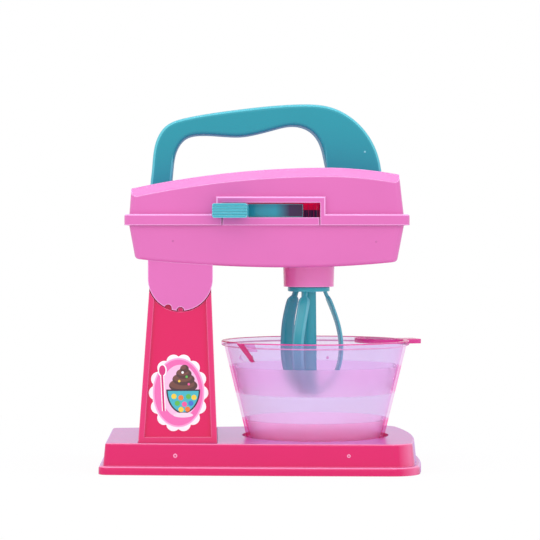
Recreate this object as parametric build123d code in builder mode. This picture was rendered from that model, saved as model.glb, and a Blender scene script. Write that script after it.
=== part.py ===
from build123d import *
import os
from math import acos, atan2, cos, degrees, pi, radians, sin, tan

os.makedirs("parts", exist_ok=True)

# The toy stands on its base, which lies on Z = 0 and is centred on the origin.
# +X points from the column to the bowl, -Y is the side with the lever, +Z is up.

# Walls and clearances that many pieces share
shell_wall = 2.2
running_gap = 0.05
loose_gap = 0.3
seat_gap = 0.1
pivot_gap = 0.4

# Base tray
base_height = 20.0
base_top_wall = 2.4
base_left_x = -102.4
base_right_x = 100.8
base_end_bow = 7.5
base_left_half_depth = 54.5
base_middle_half_depth = 64.0
base_right_half_depth = 69.6
base_wall_lean = 2.0
base_left_corner_radius = 3.0
base_right_corner_radius = 14.0
base_top_edge_radius = 1.2
lip_width = 2.4
lip_height = 5.5
lip_edge_radius = 2.0
rib_thickness = 1.6
rib_foot_gap = 3.0
rib_spacing = 30.0

# Column, two shells that stand in a shallow pocket of the base
column_x = -54.1
column_foot_x = -55.7
column_foot_width = 51.0
column_foot_depth = 106.0
column_top_z = 112.0
column_top_width = 41.0
column_top_depth = 80.0
column_shoulder_z = 121.0
column_pocket_depth = 1.0
column_foot_wall = 2.4
panel_recess = 1.6
panel_border = 3.7
panel_rail = 3.6
foot_post_radius = 3.6
foot_post_height = 14.0
foot_post_x = 16.0
foot_post_y = 40.0
column_boss_x = 13.0
column_boss_low_z = 48.0
column_boss_high_z = 92.0
column_boss_radius = 4.8
column_front_boss_radius = 3.2
column_screw_seat_y = 9.0
column_screw_length = 18.0

# Tilting pivot between the column's ears and the head's cheeks
pivot_z = 125.8
cheek_radius = 21.1
cheek_gap = 0.6
cheek_outer_y = 40.4
cheek_thickness = 2.6
ear_radius = 20.0
ear_wall = 2.4
trunnion_radius = 5.0
trunnion_reach = 3.2
tilt_limit = 22.5
notch_radius = 2.4
notch_depth = 2.6
tooth_radius = 1.7
tooth_root_depth = 4.0
tooth_inset = 0.3
tooth_skin = 0.6

# Screws
screw_head_radius = 2.5
screw_head_height = 1.7
screw_shank_radius = 1.2
screw_hole_radius = 1.35
screw_recess_width = 0.7
screw_recess_length = 2.8
screw_recess_depth = 0.9
counterbore_radius = 2.8
short_screw_length = 11.0
head_screw_length = 15.0

# Head: upper shell with a flange, lower shell with drafted walls
head_left_x = -87.3
head_right_x = 91.6
head_half_depth = 46.2
head_corner_radius = 5.0
head_seam_z = 160.4
flange_height = 7.1
flange_web = 2.0
flange_left_x = -90.4
flange_right_x = 95.2
flange_half_depth = 49.0
flange_corner_radius = 7.0
flange_edge_radius = 1.2
flange_skirt = 1.9
head_draft = 10.0
head_top_left_z = 184.2
head_top_middle = (-20.7, 194.6)
head_crown = (44.5, 197.9)
head_top_right_middle = (68.0, 196.4)
head_top_right_z = 193.5
head_end_lean = 1.4
head_right_lean = 3.2
facet_drop = 6.0
head_floor_left_z = 139.0
head_floor_low_x = 18.0
head_floor_low_z = 132.8
head_floor_right_z = 137.0
head_floor_edge_radius = 3.0

# Slot for the lever, with a raised frame round it
slot_left_x = -27.4
slot_right_x = 36.6
slot_top_z = 175.0
slot_frame_width = 3.4
slot_frame_top = 3.9
slot_frame_corner = 1.2
slot_lip_top_z = 165.4
slot_lip_gap = 0.7

# Nose that guides the whisk spindle
spindle_x = 31.4
nose_top_radius = 17.3
nose_bottom_radius = 16.8
nose_bottom_z = 119.5
nose_wall = 2.2
bearing_tube_wall = 2.2
spindle_radius = 4.5
spindle_stub_radius = 3.0
spindle_peg_width = 5.0
spindle_peg_length = 14.0

# Lever, a hub with a toothed sector, a shutter and a finger pad
lever_x = 5.6
gear_module = 1.0
pressure_angle = 25.0
pinion_teeth = 12
sector_teeth = 66
tooth_thinning = 0.1
root_clearance = 0.25
lever_swing = 35.0
lever_axle_radius = 2.0
lever_axle_depth = 9.0
lever_hub_radius = 9.0
lever_post_radius = 5.0
lever_level_z = 165.7
lever_top_z = 174.3
sector_bottom_z = 165.2
sector_height = 4.5
spare_teeth = 2
lever_arm_width = 9.0
lever_neck_width = 11.8
lever_neck_start = 58.0
pad_inner_radius = 87.0
pad_thickness = 6.5
pad_half_width = 11.0
pad_bottom_z = 165.1
pad_top_z = 174.4
pad_corner_radius = 1.6
pad_groove_count = 4
pad_groove_depth = 0.4
pad_groove_height = 0.5
shutter_inner_radius = 69.5
shutter_thickness = 2.5
shutter_reach_angle = 33.8

# Mechanism plate on four posts
plate_gap = 0.4
plate_thickness = 2.2
plate_left_x = -35.0
plate_right_x = 69.0
plate_front_y = -42.6
plate_back_y = 43.4
plate_corner_radius = 5.0
plate_notches = ((-25.9, -20.0), (-7.0, -2.5), (12.5, 19.7))
plate_notch_depth = 3.0
plate_posts = ((-28.0, -22.0), (-28.0, 36.0), (58.0, 30.0), (60.0, -4.0))
plate_post_radius = 3.8

# Housing screws that close the head
housing_boss_left = (-77.3, 24.0)
housing_boss_right = (82.0, 31.0)
housing_boss_radius = 3.9
housing_seat_z = 158.0

# Carrying handle, two shells whose legs stand in sockets of the upper shell
handle_half_depth = 12.0
handle_edge_radius = 2.6
handle_left_foot_z = 181.0
handle_right_foot_z = 189.5
handle_left_block_z = 196.0
handle_right_block_z = 204.0
handle_screws = ((-66.4, 206.0), (2.0, 230.5), (61.0, 212.0))
handle_boss_radius = 3.6
handle_screw_seat_y = 7.0
handle_screw_length = 12.0
handle_foot_screw_y = 6.0
handle_left_screw_x = -67.7
handle_right_screw_x = 62.0
socket_wall = 1.8
socket_floor = 2.0

# Whisk
whisk_disc_radius = 14.1
whisk_disc_height = 3.0
whisk_disc_gap = 0.2
whisk_shaft_top_radius = 4.9
whisk_shaft_bottom_radius = 5.5
whisk_bottom_z = 47.0
whisk_hub_radius = 7.0
whisk_hub_height = 5.0
blade_thickness = 2.2
blade_width = 8.0
blade_neck_width = 3.8
blade_neck_z = 113.0
blade_shoulder_z = 110.0
blade_first_angle = 10.0
blade_count = 3
blade_start_radius = 12.3
blade_belly_radius = 22.5
blade_belly_z = 79.0
blade_low_radius = 19.6
blade_low_z = 62.0
blade_throat_radius = 18.6
blade_throat_z = 101.5
blade_upper_radius = 21.5
blade_upper_z = 90.5
blade_foot_radius = 14.5
blade_foot_z = 53.0

# Bowl
bowl_x = 35.8
bowl_foot_radius = 45.8
bowl_rim_overhang = 1.9
bowl_rim_z = 83.7
bowl_rim_height = 3.4
bowl_neck_radius = 61.1
bowl_wall = 1.8
bowl_floor = 2.0
recess_radius = 49.2
recess_depth = 2.7
spout_angle = 221.5
spout_half_angle = 9.5
spout_reach = 8.4
spout_apex_z = 71.0
shelf_radius = 24.0
shelf_angle = 28.0
shelf_thickness = 2.4
tab_angle = 16.0
tab_width = 20.0
tab_reach = 11.5
tab_corner_radius = 3.0

# Badge, a scalloped oval of thin film on the front panel
badge_width = 34.0
badge_height = 46.0
badge_thickness = 0.3
badge_lobes = 14
badge_lobe_radius = 4.6
badge_centre_z = 52.0

# Places that follow from the sizes above
bowl_rim_radius = bowl_neck_radius + bowl_rim_overhang
pad_outer_radius = pad_inner_radius + pad_thickness
shutter_outer_radius = shutter_inner_radius + shutter_thickness
seam_top_z = head_seam_z + flange_height
seam_face_z = seam_top_z - flange_web
base_middle_x = (base_left_x + base_right_x) / 2
recess_floor_z = base_height - recess_depth
column_foot_z = base_height - column_pocket_depth
cheek_inner_y = cheek_outer_y - cheek_thickness
ear_outer_y = cheek_inner_y - pivot_gap
ear_inner_y = ear_outer_y - ear_wall
pinion_radius = gear_module * pinion_teeth / 2
sector_radius = gear_module * sector_teeth / 2
centre_distance = pinion_radius + sector_radius
lever_y = (centre_distance**2 - (spindle_x - lever_x) ** 2) ** 0.5
mesh_angle = degrees(atan2(-lever_y, spindle_x - lever_x))
lever_rest_angle = -90 - lever_swing / 2
sector_pitch_angle = 360 / sector_teeth
pinion_pitch_angle = 360 / pinion_teeth
plate_bottom_z = lever_top_z + plate_gap
whisk_disc_top_z = nose_bottom_z - whisk_disc_gap
screw_pilot_radius = screw_shank_radius + running_gap
pinion_bottom_z = sector_bottom_z
bearing_top_z = pinion_bottom_z - loose_gap

side_slope = (column_foot_width - column_top_width) / 2 / (column_top_z - base_height)
front_slope = (column_foot_depth - column_top_depth) / 2 / (column_top_z - base_height)


def column_half_width(z):
    return column_foot_width / 2 - (z - base_height) * side_slope


def column_half_depth(z):
    return column_foot_depth / 2 - (z - base_height) * front_slope


def column_centre(z):
    rise = (z - base_height) / (pivot_z - base_height)
    return column_foot_x + (column_x - column_foot_x) * rise


def base_plan(grow, z):
    """Plan of the base: straight left end, gently bowed sides and a bowed right end."""
    left = base_left_x - grow
    corner = base_right_x - base_end_bow + grow
    left_half = base_left_half_depth + grow
    middle_half = base_middle_half_depth + grow
    right_half = base_right_half_depth + grow
    with BuildSketch(Plane.XY.offset(z)) as plan:
        with BuildLine():
            ThreePointArc((left, -left_half), (base_middle_x, -middle_half), (corner, -right_half))
            ThreePointArc((corner, -right_half), (base_right_x + grow, 0), (corner, right_half))
            ThreePointArc((corner, right_half), (base_middle_x, middle_half), (left, left_half))
            Line((left, left_half), (left, -left_half))
        make_face()
        fillet(plan.vertices().group_by(Axis.X)[-1], base_right_corner_radius + grow)
        fillet(plan.vertices().group_by(Axis.X)[0], base_left_corner_radius + max(grow, 0))
    return plan.sketch


def column_section(side, front, z):
    """Rectangle of the tapering column at height z, drawn in by side and front."""
    with BuildSketch(Plane.XY.offset(z)) as section:
        with Locations((column_centre(z), 0)):
            Rectangle(2 * (column_half_width(z) - side), 2 * (column_half_depth(z) - front))
    return section.sketch


def head_side(inset):
    """Side view of the upper shell, drawn in by a wall."""
    left = head_left_x + inset
    right = head_right_x - inset
    with BuildSketch(Plane.XZ) as side:
        with BuildLine():
            left_top = (left + head_end_lean, head_top_left_z - inset)
            crown = (head_crown[0], head_crown[1] - inset)
            right_top = (right - head_right_lean, head_top_right_z - inset)
            ThreePointArc(left_top, (head_top_middle[0], head_top_middle[1] - inset), crown)
            ThreePointArc(crown, (head_top_right_middle[0], head_top_right_middle[1] - inset), right_top)
            Polyline(right_top, (right, seam_face_z), (left, seam_face_z), left_top)
        make_face()
    return side.sketch


def head_plan(inset, pull, z):
    """Rounded rectangle of the head's walls at height z, drawn in by a wall and by the draft."""
    length = head_right_x - head_left_x - 2 * (inset + pull)
    depth = 2 * (head_half_depth - inset - pull)
    with BuildSketch(Plane.XY.offset(z)) as plan:
        with Locations(((head_left_x + head_right_x) / 2, 0)):
            RectangleRounded(length, depth, head_corner_radius - inset)
    return plan.sketch


def upper_block(inset):
    """Upper shell's form with a sloping facet along both top edges."""
    facet = facet_drop - inset * (2 - 2**0.5)
    with BuildPart() as block:
        extrude(head_side(inset), amount=head_half_depth - inset, both=True)
        arcs = block.edges().filter_by(GeomType.CIRCLE)
        chamfer(arcs.filter_by(lambda edge: abs(edge.center().Y) > 1), facet)
        corners = block.edges().filter_by(lambda edge: abs((edge % 0.5).Z) > 0.9)
        fillet(corners, head_corner_radius - inset)
    return block.part


def head_floor_z(x):
    """Height of the head's underside at x: two tangent arcs that meet at its lowest point."""
    if x < head_floor_low_x:
        reach = head_floor_low_x - head_left_x
        rise = head_floor_left_z - head_floor_low_z
    else:
        reach = head_right_x - head_floor_low_x
        rise = head_floor_right_z - head_floor_low_z
    radius = (reach**2 + rise**2) / (2 * rise)
    return head_floor_low_z + radius - (radius**2 - (x - head_floor_low_x) ** 2) ** 0.5


def lower_block(inset):
    """Lower shell's form: drafted walls down to a floor that sags towards the middle."""
    deep = head_seam_z - head_floor_low_z + 1
    pull = deep * tan(radians(head_draft))
    with BuildPart() as block:
        extrude(head_plan(inset, 0, head_seam_z), amount=seam_face_z - head_seam_z)
        loft(
            sections=[head_plan(inset, 0, head_seam_z), head_plan(inset, pull, head_seam_z - deep)],
            ruled=True,
        )
        with BuildSketch(Plane.XZ):
            with BuildLine():
                left_floor = (head_left_x, head_floor_left_z + inset)
                low_point = (head_floor_low_x, head_floor_low_z + inset)
                right_floor = (head_right_x, head_floor_right_z + inset)
                left_middle = (head_left_x + head_floor_low_x) / 2
                right_middle = (head_right_x + head_floor_low_x) / 2
                ThreePointArc(left_floor, (left_middle, head_floor_z(left_middle) + inset), low_point)
                ThreePointArc(low_point, (right_middle, head_floor_z(right_middle) + inset), right_floor)
                Polyline(right_floor, (head_right_x, seam_face_z), (head_left_x, seam_face_z), left_floor)
            make_face()
        extrude(amount=head_half_depth, both=True, mode=Mode.INTERSECT)
    return block.part


def screw(length):
    """Round-headed self-tapping screw: seat at the origin, head above, shank below."""
    with BuildPart() as fastener:
        with Locations((0, 0, screw_head_height / 2)):
            Cylinder(screw_head_radius, screw_head_height)
        fillet(fastener.edges().sort_by(Axis.Z)[-1], screw_head_height * 0.6)
        with Locations((0, 0, -length / 2)):
            Cylinder(screw_shank_radius, length)
        chamfer(fastener.edges().sort_by(Axis.Z)[0], screw_shank_radius / 2)
        with BuildSketch(Plane.XY.offset(screw_head_height)):
            Rectangle(screw_recess_length, screw_recess_width)
            Rectangle(screw_recess_width, screw_recess_length)
        extrude(amount=-screw_recess_depth, mode=Mode.SUBTRACT)
    return fastener.part


def gear_tooth(teeth, z, height):
    """One involute tooth of a gear about the origin, centred on +X."""
    pitch = gear_module * teeth / 2
    base = pitch * cos(radians(pressure_angle))
    tip = pitch + gear_module
    root = pitch - gear_module - root_clearance
    start = max(base, root)
    half_pitch_angle = pi / (2 * teeth) - tooth_thinning / (2 * pitch)
    rolled = half_pitch_angle + tan(radians(pressure_angle)) - radians(pressure_angle)
    upper_flank = []
    lower_flank = []
    for step in range(5):
        radius = start + (tip - start) * step / 4
        turn = acos(min(base / radius, 1))
        half = rolled - (tan(turn) - turn)
        upper_flank.append((radius * cos(half), radius * sin(half)))
        lower_flank.append((radius * cos(half), -radius * sin(half)))
    inner = root - gear_module
    foot_half = atan2(upper_flank[0][1], upper_flank[0][0])
    upper_foot = (inner * cos(foot_half), inner * sin(foot_half))
    lower_foot = (inner * cos(foot_half), -inner * sin(foot_half))
    with BuildPart() as tooth:
        with BuildSketch(Plane.XY.offset(z)):
            with BuildLine():
                Spline(*upper_flank)
                ThreePointArc(upper_flank[-1], (tip, 0), lower_flank[-1])
                Spline(*lower_flank)
                Polyline(upper_flank[0], upper_foot, lower_foot, lower_flank[0])
            make_face()
        extrude(amount=height)
    return tooth.part


def upright(x, y, low, high, radius):
    """Cylinder with a vertical axis between two heights, to add or to cut."""
    with BuildPart(Plane((x, y, low))) as pillar:
        Cylinder(radius, high - low, align=(Align.CENTER, Align.CENTER, Align.MIN))
    return pillar.part


def crossways(x, z, near, far, radius):
    """Cylinder along Y between y = near and y = far, to add or to cut."""
    with BuildPart(Plane((x, near, z), x_dir=(1, 0, 0), z_dir=(0, 1, 0))) as bar:
        Cylinder(radius, far - near, align=(Align.CENTER, Align.CENTER, Align.MIN))
    return bar.part


def cut_upright(x, y, low, high, radius):
    """Leave a round space with a vertical axis in the piece being made."""
    add(upright(x, y, low, high, radius), mode=Mode.SUBTRACT)


def cut_crossways(x, z, near, far, radius):
    """Leave a round space with an axis along Y in the piece being made."""
    add(crossways(x, z, near, far, radius), mode=Mode.SUBTRACT)


def place_screws(name, length, places, turn):
    """One node that holds a screw at each place, all turned the same way."""
    fastener = screw(length)
    with BuildPart() as group:
        for place in places:
            with Locations(Location(place, turn)):
                add(fastener)
    group.part.label = name
    export_step(group.part, f"parts/{name}.step")


def finish(piece, name):
    """Name a finished piece and write it."""
    piece.part.label = name
    export_step(piece.part, f"parts/{name}.step")


# Base tray: lipped and open below, with a round recess for the bowl and a pocket for the column
base_screw_places = [
    (column_foot_x + side * foot_post_x, depth * foot_post_y)
    for side in (-1, 1)
    for depth in (-1, 1)
]
base_ceiling_z = base_height - base_top_wall
column_pad_z = column_foot_z - base_top_wall
recess_pad_z = recess_floor_z - base_top_wall

with BuildPart() as base_lip:
    extrude(base_plan(base_wall_lean + lip_width, 0), amount=lip_height)
    fillet(base_lip.edges().group_by(Axis.Z)[-1], lip_edge_radius)

with BuildPart() as base_hollow:
    loft(
        sections=[base_plan(base_wall_lean - shell_wall, 0), base_plan(-shell_wall, base_ceiling_z)],
        ruled=True,
    )
    cut_upright(bowl_x, 0, recess_pad_z, base_height, recess_radius + shell_wall)
    extrude(column_section(-shell_wall, -shell_wall, column_pad_z), amount=base_height, mode=Mode.SUBTRACT)
    rib_count = int((base_right_x - base_left_x) // rib_spacing)
    with Locations((base_middle_x, 0, rib_foot_gap)):
        with GridLocations(rib_spacing, 0, rib_count, 1):
            Box(
                rib_thickness,
                2 * base_right_half_depth,
                base_height,
                align=(Align.CENTER, Align.CENTER, Align.MIN),
                mode=Mode.SUBTRACT,
            )
        with GridLocations(0, rib_spacing, 1, 3):
            Box(
                2 * base_right_x,
                rib_thickness,
                base_height,
                align=(Align.CENTER, Align.CENTER, Align.MIN),
                mode=Mode.SUBTRACT,
            )

with BuildPart() as base_shell:
    loft(sections=[base_plan(base_wall_lean, 0), base_plan(0, base_height)], ruled=True)
    fillet(base_shell.edges().group_by(Axis.Z)[-1], base_top_edge_radius)
    add(base_lip.part)
    add(base_hollow.part, mode=Mode.SUBTRACT)
    cut_upright(bowl_x, 0, recess_floor_z, base_height + 1, recess_radius)
    extrude(column_section(-loose_gap, -loose_gap, column_foot_z), amount=base_height, mode=Mode.SUBTRACT)
    for x, y in base_screw_places:
        cut_upright(x, y, 0, base_height, screw_hole_radius)
finish(base_shell, "base_shell")

base_screw_seats = [(x, y, column_pad_z) for x, y in base_screw_places]
place_screws("base_screws", short_screw_length, base_screw_seats, (180, 0, 0))

# Column: a tapering tower whose ears carry the head, parted into two shells at Y = 0
column_screw_places = [
    (column_x + side * column_boss_x, z)
    for side in (-1, 1)
    for z in (column_boss_low_z, column_boss_high_z)
]
cheek_seat_radius = cheek_radius + cheek_gap
foot_top_z = column_foot_z + column_foot_wall
front_wall = panel_recess + shell_wall
panel_lean = degrees(atan2(front_slope, 1))
panel_bottom = panel_rail
panel_top = (column_shoulder_z - base_height) / cos(radians(panel_lean))
tooth_top_z = pivot_z - (cheek_radius - notch_depth + tooth_inset)
tooth_centre_z = tooth_top_z - tooth_radius
tooth_inner_y = ear_outer_y + seat_gap
tooth_outer_y = column_half_depth(tooth_centre_z) - panel_recess - tooth_skin - seat_gap


def panel_plane(side):
    """Plane on the column's sloping face, on the near side for -1 and the far side for 1."""
    slope = radians(panel_lean)
    return Plane(
        origin=(column_foot_x, side * column_foot_depth / 2, base_height),
        x_dir=(-side, 0, 0),
        z_dir=(0, side * cos(slope), sin(slope)),
    )


def panel_sketch(side):
    """Trapezium of the sunken panel, from the bottom rail to above the cheeks."""
    slope = cos(radians(panel_lean))
    low_z = base_height + panel_bottom * slope
    high_z = base_height + panel_top * slope
    low = column_half_width(low_z) - panel_border
    high = column_half_width(high_z) - panel_border
    low_shift = -side * (column_centre(low_z) - column_foot_x)
    high_shift = -side * (column_centre(high_z) - column_foot_x)
    with BuildSketch(panel_plane(side)) as panel:
        with BuildLine():
            Polyline(
                (low_shift - low, panel_bottom),
                (low_shift + low, panel_bottom),
                (high_shift + high, panel_top),
                (high_shift - high, panel_top),
                close=True,
            )
        make_face()
    return panel.sketch


with BuildPart() as column_hollow:
    loft(
        sections=[
            column_section(shell_wall, front_wall, foot_top_z),
            column_section(shell_wall, front_wall, column_shoulder_z),
        ],
        ruled=True,
    )
    for near in (-column_foot_depth, ear_inner_y):
        far = near + column_foot_depth - ear_inner_y
        cut_crossways(column_x, pivot_z, near, far, cheek_seat_radius + shell_wall)
    add(crossways(column_x, pivot_z, -ear_inner_y, ear_inner_y, ear_radius - shell_wall))
    for x, z in column_screw_places:
        cut_crossways(x, z, 0, column_foot_depth / 2, column_boss_radius)
        cut_crossways(x, z, -column_foot_depth / 2, 0, column_front_boss_radius)
    for x, y in base_screw_places:
        cut_upright(x, y, column_foot_z, column_foot_z + foot_post_height, foot_post_radius)

with BuildPart() as column_body:
    loft(
        sections=[column_section(0, 0, column_foot_z), column_section(0, 0, column_shoulder_z)],
        ruled=True,
    )
    add(crossways(column_x, pivot_z, -ear_outer_y, ear_outer_y, ear_radius))
    for near in (-column_foot_depth, ear_outer_y):
        cut_crossways(column_x, pivot_z, near, near + column_foot_depth - ear_outer_y, cheek_seat_radius)
    for side in (-1, 1):
        extrude(panel_sketch(side), amount=-panel_recess, mode=Mode.SUBTRACT)
    add(column_hollow.part, mode=Mode.SUBTRACT)
    trunnion_hole_radius = trunnion_radius + running_gap
    cut_crossways(column_x, pivot_z, -column_foot_depth / 2, column_foot_depth / 2, trunnion_hole_radius)
    for x, y in base_screw_places:
        cut_upright(x, y, column_foot_z, column_foot_z + short_screw_length, screw_pilot_radius)
    with Locations((column_x, -ear_outer_y, tooth_centre_z - tooth_root_depth - seat_gap)):
        Box(
            2 * (tooth_radius + seat_gap),
            tooth_outer_y + seat_gap - ear_outer_y,
            column_foot_depth,
            align=(Align.CENTER, Align.MAX, Align.MIN),
            mode=Mode.SUBTRACT,
        )
    for x, z in column_screw_places:
        pilot_end = column_screw_seat_y - column_screw_length - 1
        cut_crossways(x, z, pilot_end, 0, screw_pilot_radius)
        cut_crossways(x, z, 0, column_screw_seat_y, screw_hole_radius)
        cut_crossways(x, z, column_screw_seat_y, column_foot_depth / 2, counterbore_radius)

with BuildPart() as column_front:
    add(column_body.part)
    split(bisect_by=Plane.XZ, keep=Keep.TOP)
finish(column_front, "column_front")

with BuildPart() as column_rear:
    add(column_body.part)
    split(bisect_by=Plane.XZ, keep=Keep.BOTTOM)
finish(column_rear, "column_rear")

place_screws(
    "column_screws",
    column_screw_length,
    [(x, column_screw_seat_y, z) for x, z in column_screw_places],
    (-90, 0, 0),
)

# Click tooth, seated behind the top edge of the column's front wall
with BuildPart() as detent_tooth:
    with BuildSketch(Plane.XZ.offset(tooth_inner_y)):
        with Locations((column_x, tooth_centre_z)):
            Circle(tooth_radius)
            Rectangle(2 * tooth_radius, tooth_root_depth, align=(Align.CENTER, Align.MAX))
    extrude(amount=tooth_outer_y - tooth_inner_y)
finish(detent_tooth, "detent_tooth")

# Badge on the sunken front panel
with BuildPart() as badge:
    badge_plane = panel_plane(-1).offset(-panel_recess)
    badge_u = column_centre(badge_centre_z) - column_foot_x
    badge_v = (badge_centre_z - base_height) / cos(radians(panel_lean))
    with BuildSketch(badge_plane):
        with Locations((badge_u, badge_v)):
            Ellipse(badge_width / 2, badge_height / 2)
        for lobe in range(badge_lobes):
            turn = 2 * pi * lobe / badge_lobes
            across = (badge_width / 2 - badge_lobe_radius / 2) * cos(turn)
            along = (badge_height / 2 - badge_lobe_radius / 2) * sin(turn)
            with Locations((badge_u + across, badge_v + along)):
                Circle(badge_lobe_radius)
    extrude(amount=badge_thickness)
finish(badge, "badge")

# Lower shell of the head, with cheeks, trunnions, nose, posts and the lip under the slot
floor_root = shell_wall / 2
housing_bosses = [
    (x, side * y) for x, y in (housing_boss_left, housing_boss_right) for side in (-1, 1)
]
bearing_radius = spindle_radius + running_gap
below_head_z = column_top_z

with BuildPart() as lower_hollow:
    add(lower_block(shell_wall))
    add(
        upright(
            spindle_x,
            0,
            nose_bottom_z + nose_wall,
            head_floor_z(spindle_x) + 2 * shell_wall,
            nose_bottom_radius - nose_wall,
        )
    )

with BuildPart() as head_lower_shell:
    add(lower_block(0))
    floor_faces = head_lower_shell.faces().sort_by(Axis.Z)[:2]
    floor_rim = floor_faces.edges().filter_by(lambda edge: abs(edge.center().X - head_floor_low_x) > 1)
    fillet(floor_rim, head_floor_edge_radius)
    for side in (-1, 1):
        with BuildSketch(Plane.XZ.offset(side * cheek_inner_y)):
            with Locations((column_x, pivot_z)):
                Circle(cheek_radius)
                cheek_top = head_floor_z(column_x) + shell_wall - pivot_z
                Rectangle(2 * cheek_radius, cheek_top, align=(Align.CENTER, Align.MIN))
        extrude(amount=side * cheek_thickness)
    with BuildSketch(Plane.XY.offset(nose_bottom_z)):
        with Locations((spindle_x, 0)):
            Circle(nose_bottom_radius)
    with BuildSketch(Plane.XY.offset(head_floor_z(spindle_x) + shell_wall)):
        with Locations((spindle_x, 0)):
            Circle(nose_top_radius)
    loft(ruled=True)
    add(lower_hollow.part, mode=Mode.SUBTRACT)
    for x, y in plate_posts:
        add(upright(x, y, head_floor_z(x) + floor_root, plate_bottom_z, plate_post_radius))
    add(upright(lever_x, lever_y, head_floor_z(lever_x) + floor_root, bearing_top_z, lever_post_radius))
    add(upright(spindle_x, 0, nose_bottom_z, bearing_top_z, bearing_radius + bearing_tube_wall))
    for x, y in housing_bosses:
        add(upright(x, y, head_floor_z(x) + floor_root, seam_face_z, housing_boss_radius))
    for near in (-cheek_inner_y, cheek_inner_y - trunnion_reach):
        add(crossways(column_x, pivot_z, near, near + trunnion_reach, trunnion_radius))
    with Locations(
        ((slot_left_x + slot_right_x) / 2, -flange_half_depth, head_seam_z),
    ):
        Box(
            slot_right_x - slot_left_x - 2 * slot_lip_gap,
            flange_half_depth - head_half_depth + floor_root,
            slot_lip_top_z - head_seam_z,
            align=(Align.CENTER, Align.MIN, Align.MIN),
        )
    with Locations((column_x, 0, pivot_z)):
        Box(
            2 * (ear_radius - pivot_gap),
            2 * cheek_inner_y,
            head_floor_left_z + 2 * shell_wall - pivot_z,
            align=(Align.CENTER, Align.CENTER, Align.MIN),
            mode=Mode.SUBTRACT,
        )
    for turn in (0, tilt_limit):
        notch_reach = cheek_radius - notch_depth + notch_radius
        notch_x = column_x - notch_reach * sin(radians(turn))
        notch_z = pivot_z - notch_reach * cos(radians(turn))
        cut_crossways(notch_x, notch_z, -cheek_outer_y, -cheek_inner_y, notch_radius)
    for x, y in plate_posts:
        cut_upright(x, y, plate_bottom_z - short_screw_length, plate_bottom_z, screw_pilot_radius)
    axle_hole_low_z = bearing_top_z - lever_axle_depth
    cut_upright(lever_x, lever_y, axle_hole_low_z, bearing_top_z, lever_axle_radius + running_gap)
    cut_upright(spindle_x, 0, nose_bottom_z, bearing_top_z, bearing_radius)
    for x, y in housing_bosses:
        cut_upright(x, y, below_head_z, housing_seat_z, counterbore_radius)
        cut_upright(x, y, housing_seat_z, seam_face_z, screw_hole_radius)
finish(head_lower_shell, "head_lower_shell")

# Upper shell of the head, with flange, slot frame and sockets for the handle's legs
handle_left_leg = ((-74.9, handle_left_foot_z), (-74.0, 192.0), (-59.9, 192.0), (-60.7, handle_left_foot_z))
handle_right_leg = ((43.6, handle_right_foot_z), (42.9, 199.0), (79.0, 199.0), (80.6, handle_right_foot_z))
handle_outer_points = (
    (-72.9, 203.0),
    (-70.3, 217.0),
    (-64.2, 226.3),
    (-50.0, 232.0),
    (-20.0, 236.9),
    (7.7, 240.0),
    (27.0, 241.0),
    (44.0, 239.5),
    (57.8, 233.3),
    (70.5, 220.7),
    (76.8, 208.2),
)
handle_inner_points = (
    (41.5, 205.5),
    (38.8, 215.0),
    (33.4, 222.5),
    (26.6, 226.1),
    (18.5, 226.8),
    (7.7, 224.4),
    (-4.6, 221.3),
    (-12.6, 219.9),
    (-26.2, 220.1),
    (-41.1, 220.7),
    (-50.5, 218.6),
    (-56.7, 210.9),
    (-59.0, 201.0),
)
handle_feet = (handle_left_leg, handle_right_leg)
socket_half_depth = handle_half_depth + loose_gap + socket_wall


def leg_sketch(leg, grow):
    """Side view of a handle leg below the shell's top, grown by a clearance."""
    (left_low, left_high, right_high, right_low) = leg
    with BuildSketch(Plane.XZ) as outline:
        with BuildLine():
            Polyline(
                (left_low[0] - grow, left_low[1] - seat_gap),
                (left_high[0] - grow, left_high[1] + 2 * shell_wall),
                (right_high[0] + grow, right_high[1] + 2 * shell_wall),
                (right_low[0] + grow, right_low[1] - seat_gap),
                close=True,
            )
        make_face()
    return outline.sketch


handle_foot_screws_at = []
for side in (-1, 1):
    handle_foot_screws_at.append((handle_left_screw_x, side * handle_foot_screw_y, handle_left_foot_z))
    handle_foot_screws_at.append((handle_right_screw_x, side * handle_foot_screw_y, handle_right_foot_z))

with BuildPart() as upper_hollow:
    add(upper_block(shell_wall))
    for x, y in housing_bosses:
        cut_upright(x, y, seam_face_z, head_crown[1], housing_boss_radius)
    for leg in handle_feet:
        socket_low = leg[0][1] - seat_gap - socket_floor
        socket_left = leg[0][0] - loose_gap - socket_wall
        socket_right = leg[3][0] + loose_gap + socket_wall
        with Locations(((socket_left + socket_right) / 2, 0, socket_low)):
            Box(
                socket_right - socket_left,
                2 * socket_half_depth,
                head_crown[1],
                align=(Align.CENTER, Align.CENTER, Align.MIN),
                mode=Mode.SUBTRACT,
            )

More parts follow.
